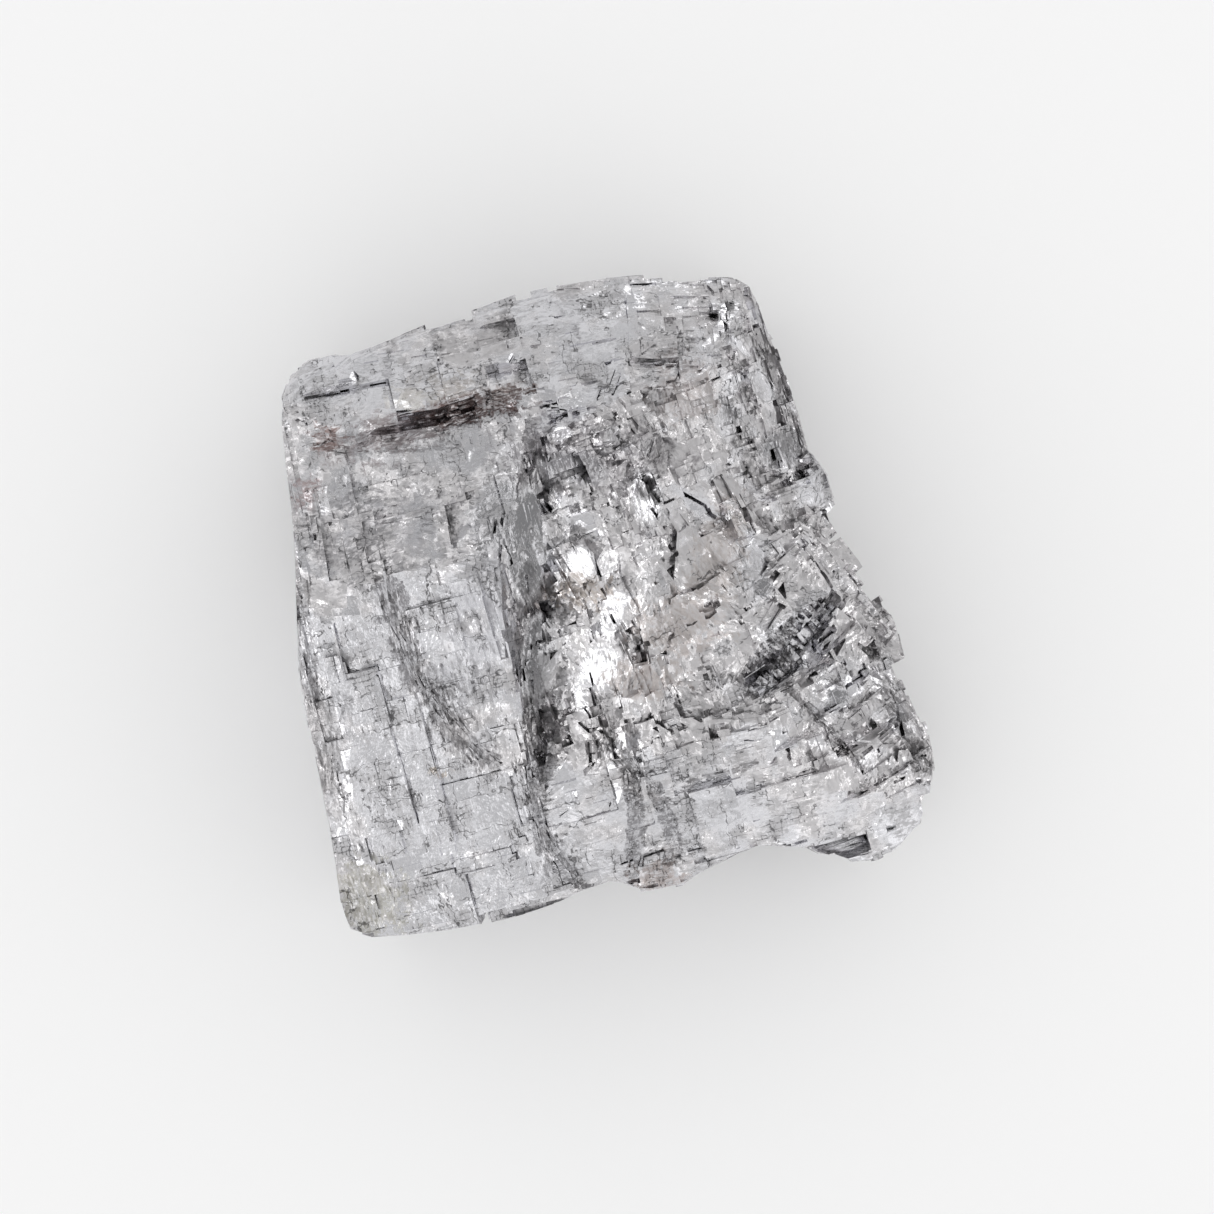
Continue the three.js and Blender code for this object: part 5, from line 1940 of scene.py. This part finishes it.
    def _hairlines(self, surface: Surface) -> bpy.types.NodeSocket:
        """Adds the hairlines.

        Args:
            surface: the shared sockets.

        Returns:
            One mask of them all.
        """
        sketch = surface.sketch
        cracks = crack_group()
        axis = sketch.add("ShaderNodeSeparateXYZ", Vector=sketch.attribute("cleavage")).outputs
        shifted = sketch.math("MULTIPLY", surface.broken, CRAZED_SHIFT)
        crazed = sketch.math("ADD", surface.clusters, shifted)
        coarse_share = sketch.ramp(crazed, *COARSE_SHARE)
        close_share = sketch.ramp(crazed, *CLOSE_SHARE)
        lines = None
        for family in HAIRLINES:
            masked = cracks.use(
                sketch, Along=axis[family.along], Across=axis[1 - family.along],
                Apart=sketch.math("ADD", axis[2], family.apart), Spacing=family.spacing,
                Length=family.length, Width=family.width,
                Share=close_share if family.close else coarse_share,
            ).outputs[0]
            lines = masked if lines is None else sketch.math("MAXIMUM", lines, masked)
        return lines

    def _stained_and_shaded(
        self, surface: Surface, colour: bpy.types.NodeSocket, roughness: bpy.types.NodeSocket
    ) -> tuple[bpy.types.NodeSocket, bpy.types.NodeSocket]:
        """Lays stains, uncoloured tints of painted shade and painted light, and painted shade in pits, on
        steps and along furrows, with smudges, over the metal, speckled as the tarnish is.

        Args:
            surface: the shared sockets.
            colour: the metal's colour.
            roughness: its roughness.

        Returns:
            The colour and the roughness with them.
        """
        sketch = surface.sketch
        speckled = sketch.ramp(surface.specks, *STAIN_SPECKS)
        # Stains, with uncoloured tints of painted shade and painted light.
        stain_and_shading_share = sketch.math("MULTIPLY", surface.mask("stain_and_shading"), speckled)
        colour = sketch.mix(stain_and_shading_share, colour, sketch.attribute("tint"), "MULTIPLY")
        roughness = sketch.math("MAXIMUM", roughness, sketch.math("MULTIPLY", stain_and_shading_share, self.matt))
        # Painted shade in pits, on steps and along furrows, with smudges.
        dark = sketch.math("MULTIPLY", surface.mask("dark"), speckled)
        return sketch.mix(dark, colour, self.shade_and_smudge, "MULTIPLY"), roughness

    def _tilted(
        self,
        surface: Surface,
        turned: bpy.types.NodeSocket,
        cells: tuple[bpy.types.Node, ...],
    ) -> bpy.types.NodeSocket:
        """Turns the normal as the clusters of facets face, then tilts each facet and adds a fine grain.

        Args:
            surface: the shared sockets.
            turned: the mask of the clusters that face one way.
            cells: the facets' nodes, which get how far they are tilted.

        Returns:
            The normal.
        """
        sketch = surface.sketch
        normal = sketch.add("ShaderNodeNewGeometry").outputs["Normal"]
        kept = sketch.vector("SCALE", normal, sketch.math("SUBTRACT", 1.0, turned))
        normal = sketch.vector("ADD", kept, sketch.vector("SCALE", sketch.attribute("towards"), turned))
        brightest = sketch.ramp(cells[1].outputs["Shade"], GLINT_ABOVE, GLINT_ABOVE + 0.01)
        glint = sketch.math("MULTIPLY", brightest, surface.broken)
        kept = sketch.vector("SCALE", normal, sketch.math("SUBTRACT", 1.0, glint))
        normal = sketch.vector("ADD", kept, sketch.vector("SCALE", Towards.LAMP.value, glint))
        for cell, (smooth, rough) in zip(cells, FACET_TILTS):
            sketch.feed(cell, "Amount", sketch.ramp(surface.broken, 0.0, 1.0, smooth, rough))
            normal = sketch.vector("ADD", normal, cell.outputs["Tilt"])
        crumple = sketch.ramp(surface.broken, 0.0, 1.0, *self.crumple)
        normal = sketch.vector("ADD", normal, sketch.vector("SCALE", surface.warp, crumple))
        bent = sketch.vector("NORMALIZE", normal)
        height = self.grain_height * MM
        bump = sketch.add("ShaderNodeBump", Strength=self.grain_bump, Distance=height, Normal=bent)
        sketch.feed(bump, "Height", sketch.noise(surface.grain, GRAIN_NOISE).outputs[0])
        return bump.outputs[0]


# ---------------------------------------------------------------- the chunk


@dataclass
class GalenaChunk:
    """The whole chunk: cut from its broad form and dressed."""

    growth: float = 0.05
    furrow_seed: int = 70
    finish: GalenaFinish = GalenaFinish()

    def build(self) -> bpy.types.Object:
        """Builds the chunk's mesh and object.

        Returns:
            The finished object, in the frame.
        """
        form = BroadForm(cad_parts[NODE])
        boxes = Boxes()
        cleaver, cracks = Cleaver(), CrackLines()
        for domain in Domain:
            plates = cleaver.boxes(domain, form)
            boxes.add(*plates)
            slits = cracks.boxes(domain, form)
            boxes.add(*slits)
            log.info("%s: %d plates, %d slits", domain.name, len(plates[0]), len(slits[0]))
        boxes.add(*EdgeNicks().boxes(form))
        rng = np.random.default_rng(self.furrow_seed)
        for furrow in FURROWS:
            boxes.add(*furrow.boxes(form, rng))
        mesh = CutterTree().cut(form.mesh, boxes, self.growth, self.finish.material())
        largest_island(mesh)
        FaceSplitter().split(mesh)
        follow_grain(mesh)
        mesh.transform(((MM, 0, 0, 0), (0, MM, 0, 0), (0, 0, MM, 0), (0, 0, 0, 1)))
        mesh.shade_flat()
        mesh.calc_loop_triangles()
        log.info("chunk: %d faces, %d triangles", len(mesh.polygons), len(mesh.loop_triangles))
        chunk = bpy.data.objects.new("galena_chunk", mesh)
        bpy.context.scene.collection.objects.link(chunk)
        return chunk


# ---------------------------------------------------------------- studio


@dataclass(frozen=True)
class Softbox:
    """A round patch of the studio's surroundings: where it is seen, how wide it is and its light."""

    towards: Triple
    inner: float
    outer: float
    light: float


SOFTBOXES: tuple[Softbox, ...] = (
    Softbox((-0.17, 0.12, 0.98), 4.0, 12.0, 0.55),
    Softbox((0.0, 0.0, 1.0), 2.0, 4.0, 0.4),
    Softbox((-0.04, -0.26, 0.96), 5.0, 9.0, 1.4),
    Softbox((-0.83, -0.05, 0.56), 10.0, 13.0, 2.6),
    Softbox((-0.45, -0.3, 0.84), 5.5, 8.0, 2.6),
    Softbox((-0.95, 0.2, 0.22), 8.0, 12.0, 1.6),
    Softbox((0.76, 0.05, 0.64), 9.0, 13.0, 0.28),
    Softbox((0.55, -0.45, 0.7), 5.0, 6.5, 2.3),
    Softbox((0.42, 0.12, 0.9), 3.0, 4.0, 2.0),
    Softbox((0.68, 0.36, 0.64), 4.0, 5.5, 2.3),
    Softbox((0.88, -0.28, 0.38), 5.0, 7.0, 2.2),
    Softbox((0.9, 0.35, 0.25), 5.0, 7.0, 2.0),
    Softbox((0.97, -0.1, 0.1), 6.0, 9.0, 0.5),
    Softbox((0.3, 0.6, 0.74), 5.0, 8.0, 0.4),
    Softbox((-0.4, 0.75, 0.52), 4.0, 6.0, 1.7),
    Softbox((0.3, 0.88, 0.36), 4.0, 6.0, 1.8),
    Softbox((0.2, -0.8, 0.56), 7.0, 10.0, 1.5),
    Softbox((-0.3, -0.9, 0.3), 6.0, 9.0, 0.8),
)


@dataclass
class Studio:
    """The pale floor, the soft light all round and the camera.

    The floor's half side and the width that the camera takes in are in metres, its aim in millimetres.
    What the metal mirrors is darker at the back than in front, with clutter, dark and bright, over it.
    """

    frame_width: float = 0.1214
    lens: float = 150.0
    sensor: float = 36.0
    aim: Triple = (-0.115, -0.318, 20.0)
    floor_half: float = 4.0
    paper: Colour = (0.93, 0.93, 0.93, 1)
    paper_roughness: float = 0.9
    back_to_front: tuple[float, float] = (0.95, -0.5)
    back_to_front_light: tuple[float, float] = (0.82, 0.95)
    clutter: Noise = Noise(3.2, 3, 0.6)
    clutter_range: tuple[float, float] = (0.35, 0.65)
    clutter_light: tuple[float, float] = (0.72, 1.22)

    def build(self) -> None:
        """Builds floor, world and camera."""
        self._floor()
        self._world()
        self._camera()
        bpy.context.scene.view_settings.view_transform = "Standard"

    def _floor(self) -> None:
        """Lays the pale floor."""
        half = self.floor_half
        mesh = bpy.data.meshes.new("floor")
        corners = [(-half, -half, 0), (half, -half, 0), (half, half, 0), (-half, half, 0)]
        mesh.from_pydata(corners, [], [(0, 1, 2, 3)])
        floor = bpy.data.objects.new("floor", mesh)
        bpy.context.scene.collection.objects.link(floor)
        paint = bpy.data.materials.new("floor_paper")
        paint.use_nodes = True
        shader = paint.node_tree.nodes["Principled BSDF"]
        shader.inputs["Base Color"].default_value = self.paper
        shader.inputs["Roughness"].default_value = self.paper_roughness
        mesh.materials.append(paint)

    def _world(self) -> None:
        """Sets even light for the floor, and panels for the metal to mirror."""
        world = bpy.data.worlds.new("studio")
        bpy.context.scene.world = world
        world.use_nodes = True
        world.node_tree.nodes.clear()
        sketch = NodeSketch(world.node_tree)
        towards = sketch.add("ShaderNodeTexCoord").outputs["Generated"]
        split = sketch.add("ShaderNodeSeparateXYZ", Vector=towards)
        light = sketch.ramp(split.outputs[1], *self.back_to_front, *self.back_to_front_light)
        clutter = sketch.noise(towards, self.clutter).outputs[0]
        dimmed = sketch.ramp(clutter, *self.clutter_range, *self.clutter_light)
        light = sketch.math("MULTIPLY", light, dimmed)
        for box in SOFTBOXES:
            centre = Vector(box.towards).normalized()
            facing = sketch.vector("DOT_PRODUCT", towards, tuple(centre))
            edge, full = math.cos(math.radians(box.outer)), math.cos(math.radians(box.inner))
            share = sketch.ramp(facing, edge, full)
            mixed = sketch.add("ShaderNodeMix", {"data_type": "FLOAT"})
            for name, value in ((0, share), (2, light), (3, box.light)):
                sketch.feed(mixed, name, value)
            light = mixed.outputs[0]
        mirrored = sketch.add("ShaderNodeBackground", Color=(1, 1, 1, 1), Strength=light)
        even = sketch.add("ShaderNodeBackground", Color=(1, 1, 1, 1), Strength=1.0)
        glossy = sketch.add("ShaderNodeLightPath").outputs["Is Glossy Ray"]
        chosen = sketch.add("ShaderNodeMixShader")
        for name, value in ((0, glossy), (1, even.outputs[0]), (2, mirrored.outputs[0])):
            sketch.feed(chosen, name, value)
        output = sketch.add("ShaderNodeOutputWorld")
        world.node_tree.links.new(chosen.outputs[0], output.inputs[0])

    def _camera(self) -> None:
        """Stands the camera straight above the chunk."""
        data = bpy.data.cameras.new("camera")
        data.lens = self.lens
        data.sensor_width = self.sensor
        distance = self.frame_width * self.lens / self.sensor
        camera = bpy.data.objects.new("camera", data)
        bpy.context.scene.collection.objects.link(camera)
        camera.location = Vector(self.aim) * MM + Vector((0, 0, distance))
        bpy.context.scene.camera = camera


def clear_startup() -> None:
    """Deletes what Blender puts in a new scene."""
    for name in ("Cube", "Light", "Camera"):
        if name in bpy.data.objects:
            bpy.data.objects.remove(bpy.data.objects[name])


def main() -> None:
    """Builds the chunk and the studio, and reports each piece."""
    clear_startup()
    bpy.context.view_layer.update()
    chunk = GalenaChunk().build()
    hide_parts(NODE)
    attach(chunk, BODY)
    log.info("%s rides on %s", chunk.name, BODY)
    Studio().build()


if __name__ == "__main__":
    main()
